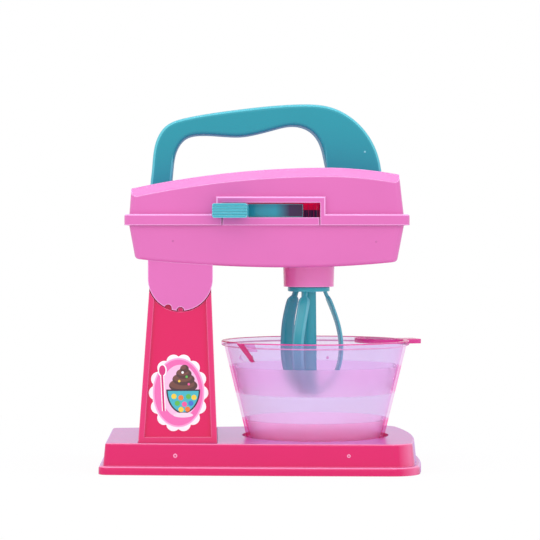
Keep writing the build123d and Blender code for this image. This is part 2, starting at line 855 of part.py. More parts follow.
with BuildPart() as head_upper_shell:
    with BuildSketch(Plane.XY.offset(head_seam_z)):
        with Locations(((flange_left_x + flange_right_x) / 2, 0)):
            RectangleRounded(flange_right_x - flange_left_x, 2 * flange_half_depth, flange_corner_radius)
    extrude(amount=flange_height)
    fillet(head_upper_shell.edges().group_by(Axis.Z)[-1], flange_edge_radius)
    with BuildSketch(Plane.XZ.offset(head_half_depth - shell_wall)):
        with Locations(((slot_left_x + slot_right_x) / 2, head_seam_z)):
            Rectangle(
                slot_right_x - slot_left_x + 2 * slot_frame_width,
                slot_top_z + slot_frame_top - head_seam_z,
                align=(Align.CENTER, Align.MIN),
            )
    extrude(amount=flange_half_depth - head_half_depth + shell_wall)
    frame_front = head_upper_shell.faces().sort_by(Axis.Y)[0]
    fillet(
        frame_front.edges().filter_by(lambda edge: edge.center().Z > seam_top_z + flange_edge_radius),
        slot_frame_corner,
    )
    add(upper_block(0))
    with BuildSketch(Plane.XY.offset(head_seam_z)):
        with Locations(((flange_left_x + flange_right_x) / 2, 0)):
            RectangleRounded(
                flange_right_x - flange_left_x - 2 * flange_skirt,
                2 * (flange_half_depth - flange_skirt),
                flange_corner_radius - flange_skirt,
            )
    extrude(amount=flange_height - flange_web, mode=Mode.SUBTRACT)
    add(upper_hollow.part, mode=Mode.SUBTRACT)
    with Locations(((slot_left_x + slot_right_x) / 2, -flange_half_depth, head_seam_z)):
        Box(
            slot_right_x - slot_left_x,
            flange_half_depth - head_half_depth + 2 * shell_wall,
            slot_top_z - head_seam_z,
            align=(Align.CENTER, Align.MIN, Align.MIN),
            mode=Mode.SUBTRACT,
        )
    for leg in handle_feet:
        extrude(
            leg_sketch(leg, loose_gap),
            amount=handle_half_depth + loose_gap,
            both=True,
            mode=Mode.SUBTRACT,
        )
    for x, y, foot_z in handle_foot_screws_at:
        cut_upright(x, y, foot_z - 2 * socket_floor, foot_z, screw_hole_radius)
    for x, y in housing_bosses:
        pilot_top = housing_seat_z + head_screw_length + 1
        cut_upright(x, y, seam_face_z, pilot_top, screw_pilot_radius)
finish(head_upper_shell, "head_upper_shell")

housing_screw_seats = [(x, y, housing_seat_z) for x, y in housing_bosses]
place_screws("housing_screws", head_screw_length, housing_screw_seats, (180, 0, 0))

# Carrying handle, parted at Y = 0
handle_hollow_y = handle_half_depth - shell_wall


def handle_outline():
    """Side view of the whole handle."""
    with BuildSketch(Plane.XZ) as outline:
        with BuildLine():
            Line(handle_left_leg[0], handle_left_leg[1])
            Spline(handle_left_leg[1], *handle_outer_points, handle_right_leg[2])
            Polyline(handle_right_leg[2], handle_right_leg[3], handle_right_leg[0], handle_right_leg[1])
            Spline(handle_right_leg[1], *handle_inner_points, handle_left_leg[2])
            Polyline(handle_left_leg[2], handle_left_leg[3], handle_left_leg[0])
        make_face()
    return outline.sketch


def beside(points, inset):
    """Points along the smooth curve through the given ones, moved to its right by an inset."""
    curve = Spline(*points)
    moved = []
    for step in range(len(points)):
        share = step / (len(points) - 1)
        here = curve @ share
        ahead = curve % share
        moved.append((here.X + ahead.Y * inset, here.Y - ahead.X * inset))
    return moved


handle_outer_wall = beside([handle_left_leg[1], *handle_outer_points, handle_right_leg[2]], shell_wall)
handle_inner_wall = beside([handle_right_leg[1], *handle_inner_points, handle_left_leg[2]], shell_wall)

with BuildPart() as handle_hollow:
    with BuildSketch(Plane.XZ):
        with BuildLine():
            Spline(*handle_outer_wall)
            Line(handle_outer_wall[-1], handle_inner_wall[0])
            Spline(*handle_inner_wall)
            Line(handle_inner_wall[-1], handle_outer_wall[0])
        make_face()
    extrude(amount=handle_hollow_y, both=True)
    for left, right, top in (
        (handle_left_leg[0][0], handle_left_leg[3][0], handle_left_block_z),
        (handle_right_leg[0][0], handle_right_leg[3][0], handle_right_block_z),
    ):
        with Locations(((left + right) / 2, 0, 0)):
            Box(
                right - left,
                2 * handle_half_depth,
                top,
                align=(Align.CENTER, Align.CENTER, Align.MIN),
                mode=Mode.SUBTRACT,
            )
    for x, z in handle_screws:
        cut_crossways(x, z, -handle_half_depth, handle_half_depth, handle_boss_radius)

def handle_half(side):
    """One moulded half of the handle, on the near side for -1 and the far side for 1."""
    with BuildPart() as half:
        extrude(handle_outline(), amount=-side * handle_half_depth)
        outer_face = half.faces().filter_by(Axis.Y).sort_by(lambda face: side * face.center().Y)[-1]
        rim = outer_face.edges().filter_by(lambda edge: edge.center().Z > head_crown[1])
        fillet(rim, handle_edge_radius)
        add(handle_hollow.part, mode=Mode.SUBTRACT)
        for x, y, foot_z in handle_foot_screws_at:
            if y * side > 0:
                cut_upright(x, y, foot_z, foot_z + short_screw_length, screw_pilot_radius)
    return half.part


with BuildPart() as handle_front:
    add(handle_half(-1))
    for x, z in handle_screws:
        pilot_end = handle_screw_seat_y - handle_screw_length - 1
        cut_crossways(x, z, pilot_end, 0, screw_pilot_radius)
finish(handle_front, "handle_front")

with BuildPart() as handle_back:
    add(handle_half(1))
    for x, z in handle_screws:
        cut_crossways(x, z, 0, handle_screw_seat_y, screw_hole_radius)
        cut_crossways(x, z, handle_screw_seat_y, handle_half_depth, counterbore_radius)
finish(handle_back, "handle_back")

place_screws(
    "handle_screws",
    handle_screw_length,
    [(x, handle_screw_seat_y, z) for x, z in handle_screws],
    (-90, 0, 0),
)
place_screws(
    "handle_foot_screws",
    short_screw_length,
    [(x, y, foot_z - seat_gap - socket_floor) for x, y, foot_z in handle_foot_screws_at],
    (180, 0, 0),
)

# Mechanism plate over the lever, notched along its front edge
plate_top_z = plate_bottom_z + plate_thickness
with BuildPart() as mechanism_plate:
    with BuildSketch(Plane.XY.offset(plate_bottom_z)):
        with Locations(((plate_left_x + plate_right_x) / 2, (plate_front_y + plate_back_y) / 2)):
            plate_length = plate_right_x - plate_left_x
            RectangleRounded(plate_length, plate_back_y - plate_front_y, plate_corner_radius)
        for left, right in plate_notches:
            with Locations(((left + right) / 2, plate_front_y)):
                Rectangle(right - left, 2 * plate_notch_depth, mode=Mode.SUBTRACT)
        with Locations((spindle_x, 0)):
            Circle(spindle_stub_radius + running_gap, mode=Mode.SUBTRACT)
        with Locations((lever_x, lever_y)):
            Circle(lever_axle_radius + running_gap, mode=Mode.SUBTRACT)
        with Locations(*plate_posts):
            Circle(screw_hole_radius, mode=Mode.SUBTRACT)
    extrude(amount=plate_thickness)
finish(mechanism_plate, "mechanism_plate")

mechanism_screw_seats = [(x, y, plate_top_z) for x, y in plate_posts]
place_screws("mechanism_screws", short_screw_length, mechanism_screw_seats, (0, 0, 0))

# Steel axle of the lever, from its post to the mechanism plate
with BuildPart() as lever_axle:
    axle_low_z = bearing_top_z - lever_axle_depth
    add(upright(lever_x, lever_y, axle_low_z + seat_gap, plate_top_z, lever_axle_radius))
    chamfer(lever_axle.edges(), lever_axle_radius / 6)
finish(lever_axle, "lever_axle")

# Lever: hub, toothed sector, arm through the slot, shutter and finger pad
lever_plane = Plane(
    origin=(lever_x, lever_y, lever_level_z),
    x_dir=(cos(radians(lever_rest_angle)), sin(radians(lever_rest_angle)), 0),
    z_dir=(0, 0, 1),
)
swing_teeth = int(lever_swing / sector_pitch_angle) + 1
sector_root_radius = sector_radius - gear_module - root_clearance
sector_start = mesh_angle - (swing_teeth + spare_teeth + 0.5) * sector_pitch_angle
sector_end = mesh_angle + (spare_teeth + 0.5) * sector_pitch_angle
sector_tooth = gear_tooth(sector_teeth, sector_bottom_z, sector_height)


def fan(plane, inner, outer, start, end):
    """Part of a ring between two radii and two angles, less than half a turn."""
    with BuildSketch(plane) as ring:
        Circle(outer)
        if inner > 0:
            Circle(inner, mode=Mode.SUBTRACT)
        reach = 2 * outer
        middle = (start + end) / 2
        with BuildLine():
            Polyline(
                (0, 0),
                (reach * cos(radians(start)), reach * sin(radians(start))),
                (reach * cos(radians(middle)), reach * sin(radians(middle))),
                (reach * cos(radians(end)), reach * sin(radians(end))),
                close=True,
            )
        make_face(mode=Mode.INTERSECT)
    return ring.sketch


pad_plane = lever_plane.offset(pad_bottom_z - lever_level_z)
pad_angle = degrees(pad_half_width / pad_inner_radius)
with BuildPart() as lever_pad:
    extrude(
        fan(pad_plane, pad_inner_radius, pad_outer_radius, -pad_angle, pad_angle),
        amount=pad_top_z - pad_bottom_z,
    )
    side_edges = lever_pad.edges().filter_by(GeomType.LINE)
    fillet(side_edges.filter_by(lambda edge: abs((edge % 0.5).Z) < 0.5), pad_corner_radius)

with BuildPart() as lever:
    add(upright(lever_x, lever_y, sector_bottom_z, lever_top_z, lever_hub_radius))
    sector_plane = Plane((lever_x, lever_y, sector_bottom_z))
    extrude(fan(sector_plane, 0, sector_root_radius, sector_start, sector_end), amount=sector_height)
    for tooth_index in range(-swing_teeth - spare_teeth, spare_teeth + 1):
        tooth_angle = mesh_angle + tooth_index * sector_pitch_angle
        with Locations(Location((lever_x, lever_y, 0), (0, 0, tooth_angle))):
            add(sector_tooth)
    arm_height = lever_top_z - lever_level_z
    with BuildSketch(lever_plane):
        Rectangle(pad_inner_radius, lever_arm_width, align=(Align.MIN, Align.CENTER))
        with Locations((lever_neck_start, 0)):
            Rectangle(
                (pad_inner_radius + pad_outer_radius) / 2 - lever_neck_start,
                lever_neck_width,
                align=(Align.MIN, Align.CENTER),
            )
    extrude(amount=arm_height)
    extrude(
        fan(lever_plane, shutter_inner_radius, shutter_outer_radius, 0, shutter_reach_angle),
        amount=arm_height,
    )
    add(lever_pad.part)
    groove_step = (pad_top_z - pad_bottom_z) / (pad_groove_count + 1)
    for groove in range(pad_groove_count):
        groove_plane = pad_plane.offset((groove + 1) * groove_step - pad_groove_height / 2)
        groove_inner = pad_outer_radius - pad_groove_depth
        extrude(
            fan(groove_plane, groove_inner, pad_outer_radius + 1, -2 * pad_angle, 2 * pad_angle),
            amount=pad_groove_height,
            mode=Mode.SUBTRACT,
        )
    cut_upright(lever_x, lever_y, sector_bottom_z, lever_top_z, lever_axle_radius + running_gap)
finish(lever, "lever")

# Drive pinion and whisk spindle, moulded together
pinion_root_radius = pinion_radius - gear_module - root_clearance
pinion_tooth = gear_tooth(pinion_teeth, pinion_bottom_z, lever_top_z - pinion_bottom_z)
with BuildPart() as drive_pinion:
    add(upright(spindle_x, 0, pinion_bottom_z, lever_top_z, pinion_root_radius))
    for tooth_index in range(pinion_teeth):
        tooth_angle = mesh_angle + 180 + (tooth_index + 0.5) * pinion_pitch_angle
        with Locations(Location((spindle_x, 0, 0), (0, 0, tooth_angle))):
            add(pinion_tooth)
    add(upright(spindle_x, 0, whisk_disc_top_z + seat_gap, pinion_bottom_z, spindle_radius))
    add(upright(spindle_x, 0, lever_top_z, plate_top_z, spindle_stub_radius))
    with BuildSketch(Plane.XY.offset(whisk_disc_top_z + seat_gap)):
        with Locations((spindle_x, 0)):
            Rectangle(spindle_peg_width, spindle_peg_width)
    extrude(amount=-spindle_peg_length)
finish(drive_pinion, "drive_pinion")

# Whisk: disc, tapering shaft and leaf-shaped blades that meet in a hub
whisk_disc_bottom_z = whisk_disc_top_z - whisk_disc_height
with BuildPart() as blade:
    with BuildSketch(Plane.XZ):
        with BuildLine():
            outer_top = (blade_start_radius, whisk_disc_bottom_z + 1)
            outer_foot = (whisk_hub_radius - 1, whisk_bottom_z + 1)
            inner_foot = (whisk_hub_radius - 1, whisk_bottom_z + whisk_hub_height - 1)
            inner_top = (blade_start_radius - blade_thickness, whisk_disc_bottom_z + 1)
            Spline(
                outer_top,
                (blade_start_radius + 2.6, blade_shoulder_z + 1),
                (blade_throat_radius, blade_throat_z),
                (blade_upper_radius, blade_upper_z),
                (blade_belly_radius, blade_belly_z),
                (blade_low_radius, blade_low_z),
                (blade_foot_radius, blade_foot_z),
                outer_foot,
            )
            Line(outer_foot, inner_foot)
            Spline(
                inner_foot,
                (blade_foot_radius - 1.5, blade_foot_z + 2.4),
                (blade_low_radius - blade_thickness, blade_low_z + 1.4),
                (blade_belly_radius - blade_thickness, blade_belly_z),
                (blade_upper_radius - blade_thickness, blade_upper_z - 0.5),
                (blade_throat_radius - blade_thickness - 0.2, blade_throat_z - 0.8),
                (blade_start_radius + 2.4 - blade_thickness, blade_shoulder_z),
                inner_top,
            )
            Line(inner_top, outer_top)
        make_face()
    extrude(amount=blade_width / 2, both=True)
    with BuildSketch(Plane.YZ):
        with BuildLine():
            half_neck = blade_neck_width / 2
            half_blade = blade_width / 2
            top = whisk_disc_bottom_z + 2
            Polyline(
                (half_blade, blade_shoulder_z),
                (half_blade, whisk_bottom_z),
                (-half_blade, whisk_bottom_z),
                (-half_blade, blade_shoulder_z),
            )
            Line((-half_neck, blade_neck_z), (-half_neck, top))
            Line((-half_neck, top), (half_neck, top))
            Line((half_neck, top), (half_neck, blade_neck_z))
            Spline(
                (half_neck, blade_neck_z),
                (half_blade, blade_shoulder_z),
                tangents=((0.6, -1), (0, -1)),
            )
            Spline(
                (-half_blade, blade_shoulder_z),
                (-half_neck, blade_neck_z),
                tangents=((0, 1), (0.6, 1)),
            )
        make_face()
    extrude(amount=bowl_rim_radius, mode=Mode.INTERSECT)

with BuildPart() as whisk:
    add(upright(spindle_x, 0, whisk_disc_bottom_z, whisk_disc_top_z, whisk_disc_radius))
    fillet(whisk.edges(), 0.5)
    with BuildSketch(Plane.XY.offset(whisk_bottom_z)):
        with Locations((spindle_x, 0)):
            Circle(whisk_shaft_bottom_radius)
    with BuildSketch(Plane.XY.offset(whisk_disc_bottom_z)):
        with Locations((spindle_x, 0)):
            Circle(whisk_shaft_top_radius)
    loft(ruled=True)
    add(upright(spindle_x, 0, whisk_bottom_z, whisk_bottom_z + whisk_hub_height, whisk_hub_radius))
    for turn in range(blade_count):
        with Locations(Location((spindle_x, 0, 0), (0, 0, blade_first_angle + turn * 360 / blade_count))):
            add(blade.part)
    with BuildSketch(Plane.XY.offset(whisk_disc_top_z)):
        with Locations((spindle_x, 0)):
            Rectangle(spindle_peg_width + seat_gap, spindle_peg_width + seat_gap)
    extrude(amount=-spindle_peg_length, mode=Mode.SUBTRACT)
finish(whisk, "whisk")

# Bowl: tapering wall, proud rim band, pouring spout, inner shelf and grip tab
bowl_foot_z = recess_floor_z + seat_gap
bowl_slope = (bowl_neck_radius - bowl_foot_radius) / (bowl_rim_z - bowl_rim_height - bowl_foot_z)


def bowl_radius(z):
    return bowl_foot_radius + (z - bowl_foot_z) * bowl_slope


def spout_sketch(z, base, half_base, tip):
    """Triangle of the spout at height z, pointing outwards along the spout's direction."""
    out = radians(spout_angle)
    with BuildSketch(Plane((bowl_x, 0, z), x_dir=(cos(out), sin(out), 0), z_dir=(0, 0, 1))) as outline:
        with BuildLine():
            Polyline((base, -half_base), (tip, 0), (base, half_base), close=True)
        make_face()
    return outline.sketch


spout_base = bowl_neck_radius * cos(radians(spout_half_angle))
spout_half = bowl_neck_radius * sin(radians(spout_half_angle))
spout_tip = bowl_rim_radius + spout_reach
apex_radius = bowl_radius(spout_apex_z)
with BuildPart() as bowl:
    with BuildSketch(Plane((bowl_x, 0, 0), x_dir=(1, 0, 0), z_dir=(0, -1, 0))):
        with BuildLine():
            rim_low_z = bowl_rim_z - bowl_rim_height
            Polyline(
                (0, bowl_foot_z),
                (bowl_foot_radius, bowl_foot_z),
                (bowl_neck_radius, rim_low_z),
                (bowl_rim_radius, rim_low_z),
                (bowl_rim_radius, bowl_rim_z),
                (bowl_neck_radius - bowl_wall, bowl_rim_z),
                (bowl_radius(bowl_foot_z + bowl_floor) - bowl_wall, bowl_foot_z + bowl_floor),
                (0, bowl_foot_z + bowl_floor),
                close=True,
            )
        make_face()
    revolve(axis=Axis((bowl_x, 0, 0), (0, 0, 1)))
    loft(
        sections=[
            spout_sketch(bowl_rim_z, spout_base - bowl_wall / 2, spout_half, spout_tip),
            spout_sketch(spout_apex_z, apex_radius - bowl_wall, 0.5, apex_radius),
        ],
        ruled=True,
    )
    shelf_low_z = bowl_rim_z - shelf_thickness
    out = radians(shelf_angle)
    shelf_reach = bowl_neck_radius - bowl_wall
    with BuildSketch(Plane.XY.offset(shelf_low_z)):
        with Locations((bowl_x + shelf_reach * cos(out), shelf_reach * sin(out))):
            Circle(shelf_radius)
        with Locations((bowl_x, 0)):
            Circle(bowl_neck_radius, mode=Mode.INTERSECT)
    extrude(amount=shelf_thickness)
    out = radians(tab_angle)
    with BuildSketch(Plane((bowl_x, 0, shelf_low_z), x_dir=(cos(out), sin(out), 0), z_dir=(0, 0, 1))):
        with Locations((shelf_reach, 0)):
            RectangleRounded(2 * (bowl_rim_radius + tab_reach - shelf_reach), tab_width, tab_corner_radius)
        Circle(shelf_reach, mode=Mode.SUBTRACT)
    extrude(amount=shelf_thickness)
    spout_turn = atan2(spout_half, spout_tip - spout_base)
    inner_tip = spout_tip - bowl_wall / sin(spout_turn)
    inner_base = spout_base - 3 * bowl_wall
    loft(
        sections=[
            spout_sketch(bowl_rim_z, inner_base, (inner_tip - inner_base) * tan(spout_turn), inner_tip),
            spout_sketch(spout_apex_z + bowl_wall, inner_base - bowl_wall, 0.5, apex_radius - bowl_wall),
        ],
        ruled=True,
        mode=Mode.SUBTRACT,
    )
finish(bowl, "bowl")
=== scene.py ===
# %% [markdown]
# # A toy stand mixer, dressed in Blender
#
# The real object is a pretend kitchen mixer, moulded in glossy plastic: a hot pink base and
# column, a light pink head with a teal carrying handle, a teal whisk, and a clear lilac bowl.
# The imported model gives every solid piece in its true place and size. This lesson adds what a
# solid model leaves out: a finer bowl and whisk, edges that catch the light, the moulder's small
# marks, and a finish for each piece.

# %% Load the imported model
from math import acos, atan, atan2, cos, degrees, radians, sin, tan

import bmesh
import bpy
from mathutils import Matrix, Vector


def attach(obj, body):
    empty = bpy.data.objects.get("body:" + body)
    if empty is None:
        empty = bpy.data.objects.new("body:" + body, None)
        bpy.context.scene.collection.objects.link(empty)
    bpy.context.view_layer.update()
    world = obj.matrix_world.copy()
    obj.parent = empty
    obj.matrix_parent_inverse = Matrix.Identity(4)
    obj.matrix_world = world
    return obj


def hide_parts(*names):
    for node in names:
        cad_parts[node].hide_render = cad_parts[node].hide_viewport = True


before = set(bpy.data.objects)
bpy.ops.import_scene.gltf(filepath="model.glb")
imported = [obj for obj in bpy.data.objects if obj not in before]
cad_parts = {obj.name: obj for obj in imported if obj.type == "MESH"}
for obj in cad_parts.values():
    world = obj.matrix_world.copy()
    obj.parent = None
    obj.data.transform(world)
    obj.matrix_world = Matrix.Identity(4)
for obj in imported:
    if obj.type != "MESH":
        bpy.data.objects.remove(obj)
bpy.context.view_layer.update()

print("pieces from the solid model:", len(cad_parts))

# %% [markdown]
# ## Camera
#
# The photograph looks at the side with the lever, level with the lower part of the head, from
# about 1.4 m away. A long lens keeps the uprights parallel. The picture is square, so the lens
# and the distance alone set how large the mixer stands in it.

# %% Place the camera
MM = 0.001
mm_per_metre = 1000.0
camera_height = 152.6 * MM
camera_distance = 1400 * MM
camera_lens = 139.2
camera_sensor = 36
camera_aim_x = 5.4 * MM
camera_azimuth = radians(-1.65)
camera_pitch = radians(-0.9)

camera_data = bpy.data.cameras.new("camera")
camera_data.sensor_width = camera_sensor
camera_data.lens = camera_lens
camera = bpy.data.objects.new("camera", camera_data)
camera.location = (
    camera_aim_x + camera_distance * sin(camera_azimuth),
    -camera_distance * cos(camera_azimuth),
    camera_height,
)
camera.rotation_euler = (radians(90) + camera_pitch, 0, camera_azimuth)
bpy.context.scene.collection.objects.link(camera)
bpy.context.scene.camera = camera
print("camera stands", round(camera_distance, 3), "m away, lens", camera_lens, "mm")

# %% [markdown]
# ## Sums of sockets
#
# A finish is a small network of nodes. Wire stands for one output of a node and knows plus,
# minus, times and the rest, so that a finish reads as a formula. Board adds the nodes, and paint
# turns the six digits of a colour chart into the linear colour that a shader works with.

# %% A socket that can be used in expressions
class Wire:
    """One node's output. Sums and products of wires and numbers add Math nodes."""

    def __init__(self, board, socket):
        self.board = board
        self.socket = socket

    def _maths(self, operation, first, second):
        return self.board.node("ShaderNodeMath", {"operation": operation}, {0: first, 1: second})

    def __add__(self, other):
        return self._maths("ADD", self, other)

    def __radd__(self, other):
        return self._maths("ADD", other, self)

    def __sub__(self, other):
        return self._maths("SUBTRACT", self, other)

    def __rsub__(self, other):
        return self._maths("SUBTRACT", other, self)

    def __mul__(self, other):
        return self._maths("MULTIPLY", self, other)

    def __rmul__(self, other):
        return self._maths("MULTIPLY", other, self)

    def __truediv__(self, other):
        return self._maths("DIVIDE", self, other)

    def __pow__(self, other):
        return self._maths("POWER", self, other)

    def __lt__(self, other):
        return self._maths("LESS_THAN", self, other)

    def __gt__(self, other):
        return self._maths("GREATER_THAN", self, other)


print("wires can be added, taken away, multiplied, divided, raised and compared")

# %% The board that carries the nodes
class Board:
    """The nodes of one material or of the world."""

    def __init__(self, owner):
        owner.use_nodes = True
        self.owner = owner
        self.tree = owner.node_tree
        self.tree.nodes.clear()

    def node(self, kind, settings=None, values=None, output=0):
        """Add a node: its settings first, then the values or links of its sockets."""
        made = self.tree.nodes.new(kind)
        for key, setting in (settings or {}).items():
            setattr(made, key, setting)
        for key, value in (values or {}).items():
            socket = made.inputs[key]
            if isinstance(value, Wire):
                self.tree.links.new(value.socket, socket)
            else:
                socket.default_value = value
        return Wire(self, made.outputs[output]) if made.outputs else None

    def mix(self, share, first, second):
        """Colour between two colours."""
        return self.node(
            "ShaderNodeMix", {"data_type": "RGBA"}, {0: share, 6: first, 7: second}, output=2
        )

    def clip(self, value):
        """Keep a value between 0 and 1."""
        return self.node("ShaderNodeClamp", {}, {0: value})


print("a board adds nodes, mixes colours and clips values")

# %% Colours
def paint(code):
    """Linear colour from the six digits that a painter's colour chart gives."""
    channels = [int(code[place:place + 2], 16) / 255 for place in (0, 2, 4)]
    linear = [c / 12.92 if c <= 0.04045 else ((c + 0.055) / 1.055) ** 2.4 for c in channels]
    return (*linear, 1.0)


print("white is", [round(c, 3) for c in paint("FFFFFF")])

# %% [markdown]
# ## Floor and background
#
# The product photograph was cut out onto pure white. A white world gives that to the camera and
# to reflections, while a lower level of it lights the object. The floor is white too, and
# shows the camera only a faint part of the shadow.

# %% World
studio_world = bpy.data.worlds.new("studio")
bpy.context.scene.world = studio_world
studio = Board(studio_world)
seen = studio.node("ShaderNodeLightPath", output="Is Camera Ray")
shone = studio.node("ShaderNodeLightPath", output="Is Glossy Ray")
passed = studio.node("ShaderNodeLightPath", output="Is Transmission Ray")
ambient_level = 0.84
white = paint("FFFFFF")
backdrop = studio.node("ShaderNodeBackground", {}, {"Color": white, "Strength": 1.0})
ambient = studio.node("ShaderNodeBackground", {}, {"Color": white, "Strength": ambient_level})
shown = studio.clip(seen + shone + passed)
sky = studio.node("ShaderNodeMixShader", {}, {0: shown, 1: ambient, 2: backdrop})
studio.node("ShaderNodeOutputWorld", {}, {"Surface": sky})
print("the world lights at", ambient_level, "and shows at 1.0")

# %% Floor
floor_reach = 1.5
shadow_near, shadow_far = 0.14, 0.42
shadow_veil = 0.94
floor_mesh = bpy.data.meshes.new("floor")
floor_mesh.from_pydata(
    [(x, y, 0) for x, y in ((-1, -1), (1, -1), (1, 1), (-1, 1))], [], [(0, 1, 2, 3)]
)
floor_mesh.transform(Matrix.Scale(floor_reach, 4))
floor = bpy.data.objects.new("floor", floor_mesh)
bpy.context.scene.collection.objects.link(floor)

floor_paint = Board(bpy.data.materials.new("floor_paint"))
spot = floor_paint.node("ShaderNodeTexCoord", output="Object")
away = floor_paint.node("ShaderNodeVectorMath", {"operation": "LENGTH"}, {0: spot}, "Value")
fade = floor_paint.node(
    "ShaderNodeMapRange",
    {"interpolation_type": "SMOOTHSTEP"},
    {
        "Value": away,
        "From Min": shadow_near,
        "From Max": shadow_far,
        "To Min": shadow_veil,
        "To Max": 1.0,
    },
)
seen = floor_paint.node("ShaderNodeLightPath", output="Is Camera Ray")
passed = floor_paint.node("ShaderNodeLightPath", output="Is Transmission Ray")
shadowed = floor_paint.node("ShaderNodeBsdfDiffuse", {}, {"Color": paint("F4F4F4")})
clean = floor_paint.node("ShaderNodeEmission", {}, {"Color": white, "Strength": 1.0})
floor_look = floor_paint.node(
    "ShaderNodeMixShader", {}, {0: fade * floor_paint.clip(seen + passed), 1: shadowed, 2: clean}
)
floor_paint.node("ShaderNodeOutputMaterial", {}, {"Surface": floor_look})
floor_mesh.materials.append(floor_paint.owner)
print("floor is", 2 * floor_reach, "m wide; its shadow is gone", shadow_far, "m out")

# %% [markdown]
# ## Lamps
#
# Three large soft lamps stand in front, and a long strip hangs straight above. The large ones
# light the walls evenly. The strip is what every edge that faces up and forwards reflects, so it
# draws the bright lines that glossy plastic has. The level is plain, so that a colour renders
# about as it is written.

# %% Hang the lamps
def softbox(name, place, aim, width, depth, watts, tone="FFFFFF"):
    """A rectangular lamp that faces a point of the mixer."""
    lamp = bpy.data.lights.new(name, "AREA")
    lamp.shape = "RECTANGLE"
    lamp.size = width
    lamp.size_y = depth
    lamp.energy = watts
    lamp.color = paint(tone)[:3]
    hung = bpy.data.objects.new(name, lamp)
    hung.location = place
    hung.rotation_euler = (Vector(aim) - Vector(place)).to_track_quat("-Z", "Y").to_euler()
    bpy.context.scene.collection.objects.link(hung)


aim = (0.0, 0.0, 0.12)
softbox("lamp_left", (-0.8, -0.9, 0.8), aim, 0.7, 0.7, 2.1)
softbox("lamp_front", (0.1, -1.1, 0.85), aim, 0.6, 0.6, 1.5)
softbox("lamp_right", (0.9, -0.8, 0.6), aim, 0.6, 0.6, 1.1)
softbox("lamp_strip", (0.0, -0.05, 1.1), (0.0, -0.05, 0.0), 1.9, 0.12, 4.6, "D6E4FF")

# %% [markdown]
# ## Moulded plastic
#
# Injection-moulded plastic is one colour all through, so what shows is its surface: a slightly
# uneven gloss, a very fine orange-peel, and edges that are rounded and look lighter, because
# light passes through the thin material there. A Bevel node turns the shading normal round each
# sharp edge. A wider one finds the edges: where it differs from the true normal, the colour is
# lightened, a painted highlight, but only where an Ambient Occlusion node says that the edge
# stands in open air.

# %% Sizes that every moulding shares
# The lighter edges are a painted highlight; these sizes set how wide and how strong it is.
shading_radius = 0.6 * MM
edge_radius = 1.1 * MM
edge_gain = 14.0
painted_edge_share = 0.85
air_reach = 0.9 * MM
grain_depth = 0.02 * MM
bloom_share = 0.75
plastic_ior = 1.49


def part_of(board, vector, letter):
    """One component of a vector."""
    return board.node("ShaderNodeSeparateXYZ", {}, {0: vector}, letter)


def size_of(board, value):
    """A value without its sign."""
    return board.node("ShaderNodeMath", {"operation": "ABSOLUTE"}, {0: value})


print("edges look", round(edge_radius / MM, 1), "mm wide")

# %% Plastic finish
def moulded_plastic(
    name, colour, painted_edge_colour, gloss=0.2, bloom=None, panel=None, highlight_fillets=None, glow=0.0
):
    """Glossy plastic with rounded, lighter edges.

    bloom is the colour that it reflects at a low slant, and panel a region with its own colour,
    which some finishes use for painted light or painted shade. The lighter edges are a painted
    highlight, and the fillet function tells which of the mesh's own fillets get it too, by the way
    that they face. glow is a painted glow.
    """
    board = Board(bpy.data.materials.new(name))
    place = board.node("ShaderNodeTexCoord", output="Object")
    cloud = board.node("ShaderNodeTexNoise", {}, {"Vector": place, "Scale": 22.0, "Detail": 2.0})
    smear = board.node("ShaderNodeTexNoise", {}, {"Vector": place, "Scale": 70.0, "Detail": 3.0})
    grain = board.node("ShaderNodeTexNoise", {}, {"Vector": place, "Scale": 900.0, "Detail": 1.0})
    rounded = board.node("ShaderNodeBevel", {"samples": 6}, {"Radius": shading_radius})
    wide = board.node("ShaderNodeBevel", {"samples": 8}, {"Radius": edge_radius})
    true_normal = board.node("ShaderNodeNewGeometry", output="Normal")
    match = board.node(
        "ShaderNodeVectorMath", {"operation": "DOT_PRODUCT"}, {0: wide, 1: true_normal}, "Value"
    )
    air = board.node("ShaderNodeAmbientOcclusion", {"samples": 6}, {"Distance": air_reach}, "AO")
    edge = board.clip((1.0 - match) * edge_gain) * board.clip(air * 4.0 - 2.6)
    if highlight_fillets:
        facing = board.node("ShaderNodeTexCoord", output="Normal")
        edge = board.clip(edge + highlight_fillets(board, place, facing))
    darker = tuple(0.94 * channel for channel in colour[:3]) + (1.0,)
    body_colour = board.mix(board.clip(cloud * 1.6 - 0.3), darker, colour)
    if panel:
        region, panel_colour = panel
        body_colour = board.mix(region(board, place), body_colour, panel_colour)
    # Painted highlight: the edge mask lightens the colour toward the edge colour.
    shade = board.mix(edge * painted_edge_share, body_colour, painted_edge_colour)
    normal = board.node(
        "ShaderNodeBump",
        {},
        {"Strength": 0.2, "Distance": grain_depth, "Height": grain, "Normal": rounded},
    )
    # A glow above 0 is a painted glow.
    finish = board.node(
        "ShaderNodeBsdfPrincipled",
        {},
        {
            "Base Color": shade,
            "Roughness": gloss - 0.04 + 0.08 * smear,
            "IOR": plastic_ior,
            "Specular IOR Level": 0.45,
            "Normal": normal,
            "Emission Color": shade,
            "Emission Strength": glow,
        },
    )
    if bloom:
        slant = board.node("ShaderNodeLayerWeight", {}, {"Blend": 0.5}, "Facing")
        sheen = board.node("ShaderNodeBsdfGlossy", {}, {"Color": bloom, "Roughness": 0.3})
        share = board.clip(slant**6 * bloom_share)
        finish = board.node("ShaderNodeMixShader", {}, {0: share, 1: finish, 2: sheen})
    board.node("ShaderNodeOutputMaterial", {}, {"Surface": finish})
    return board.owner


print("plastic's index of refraction:", plastic_ior)

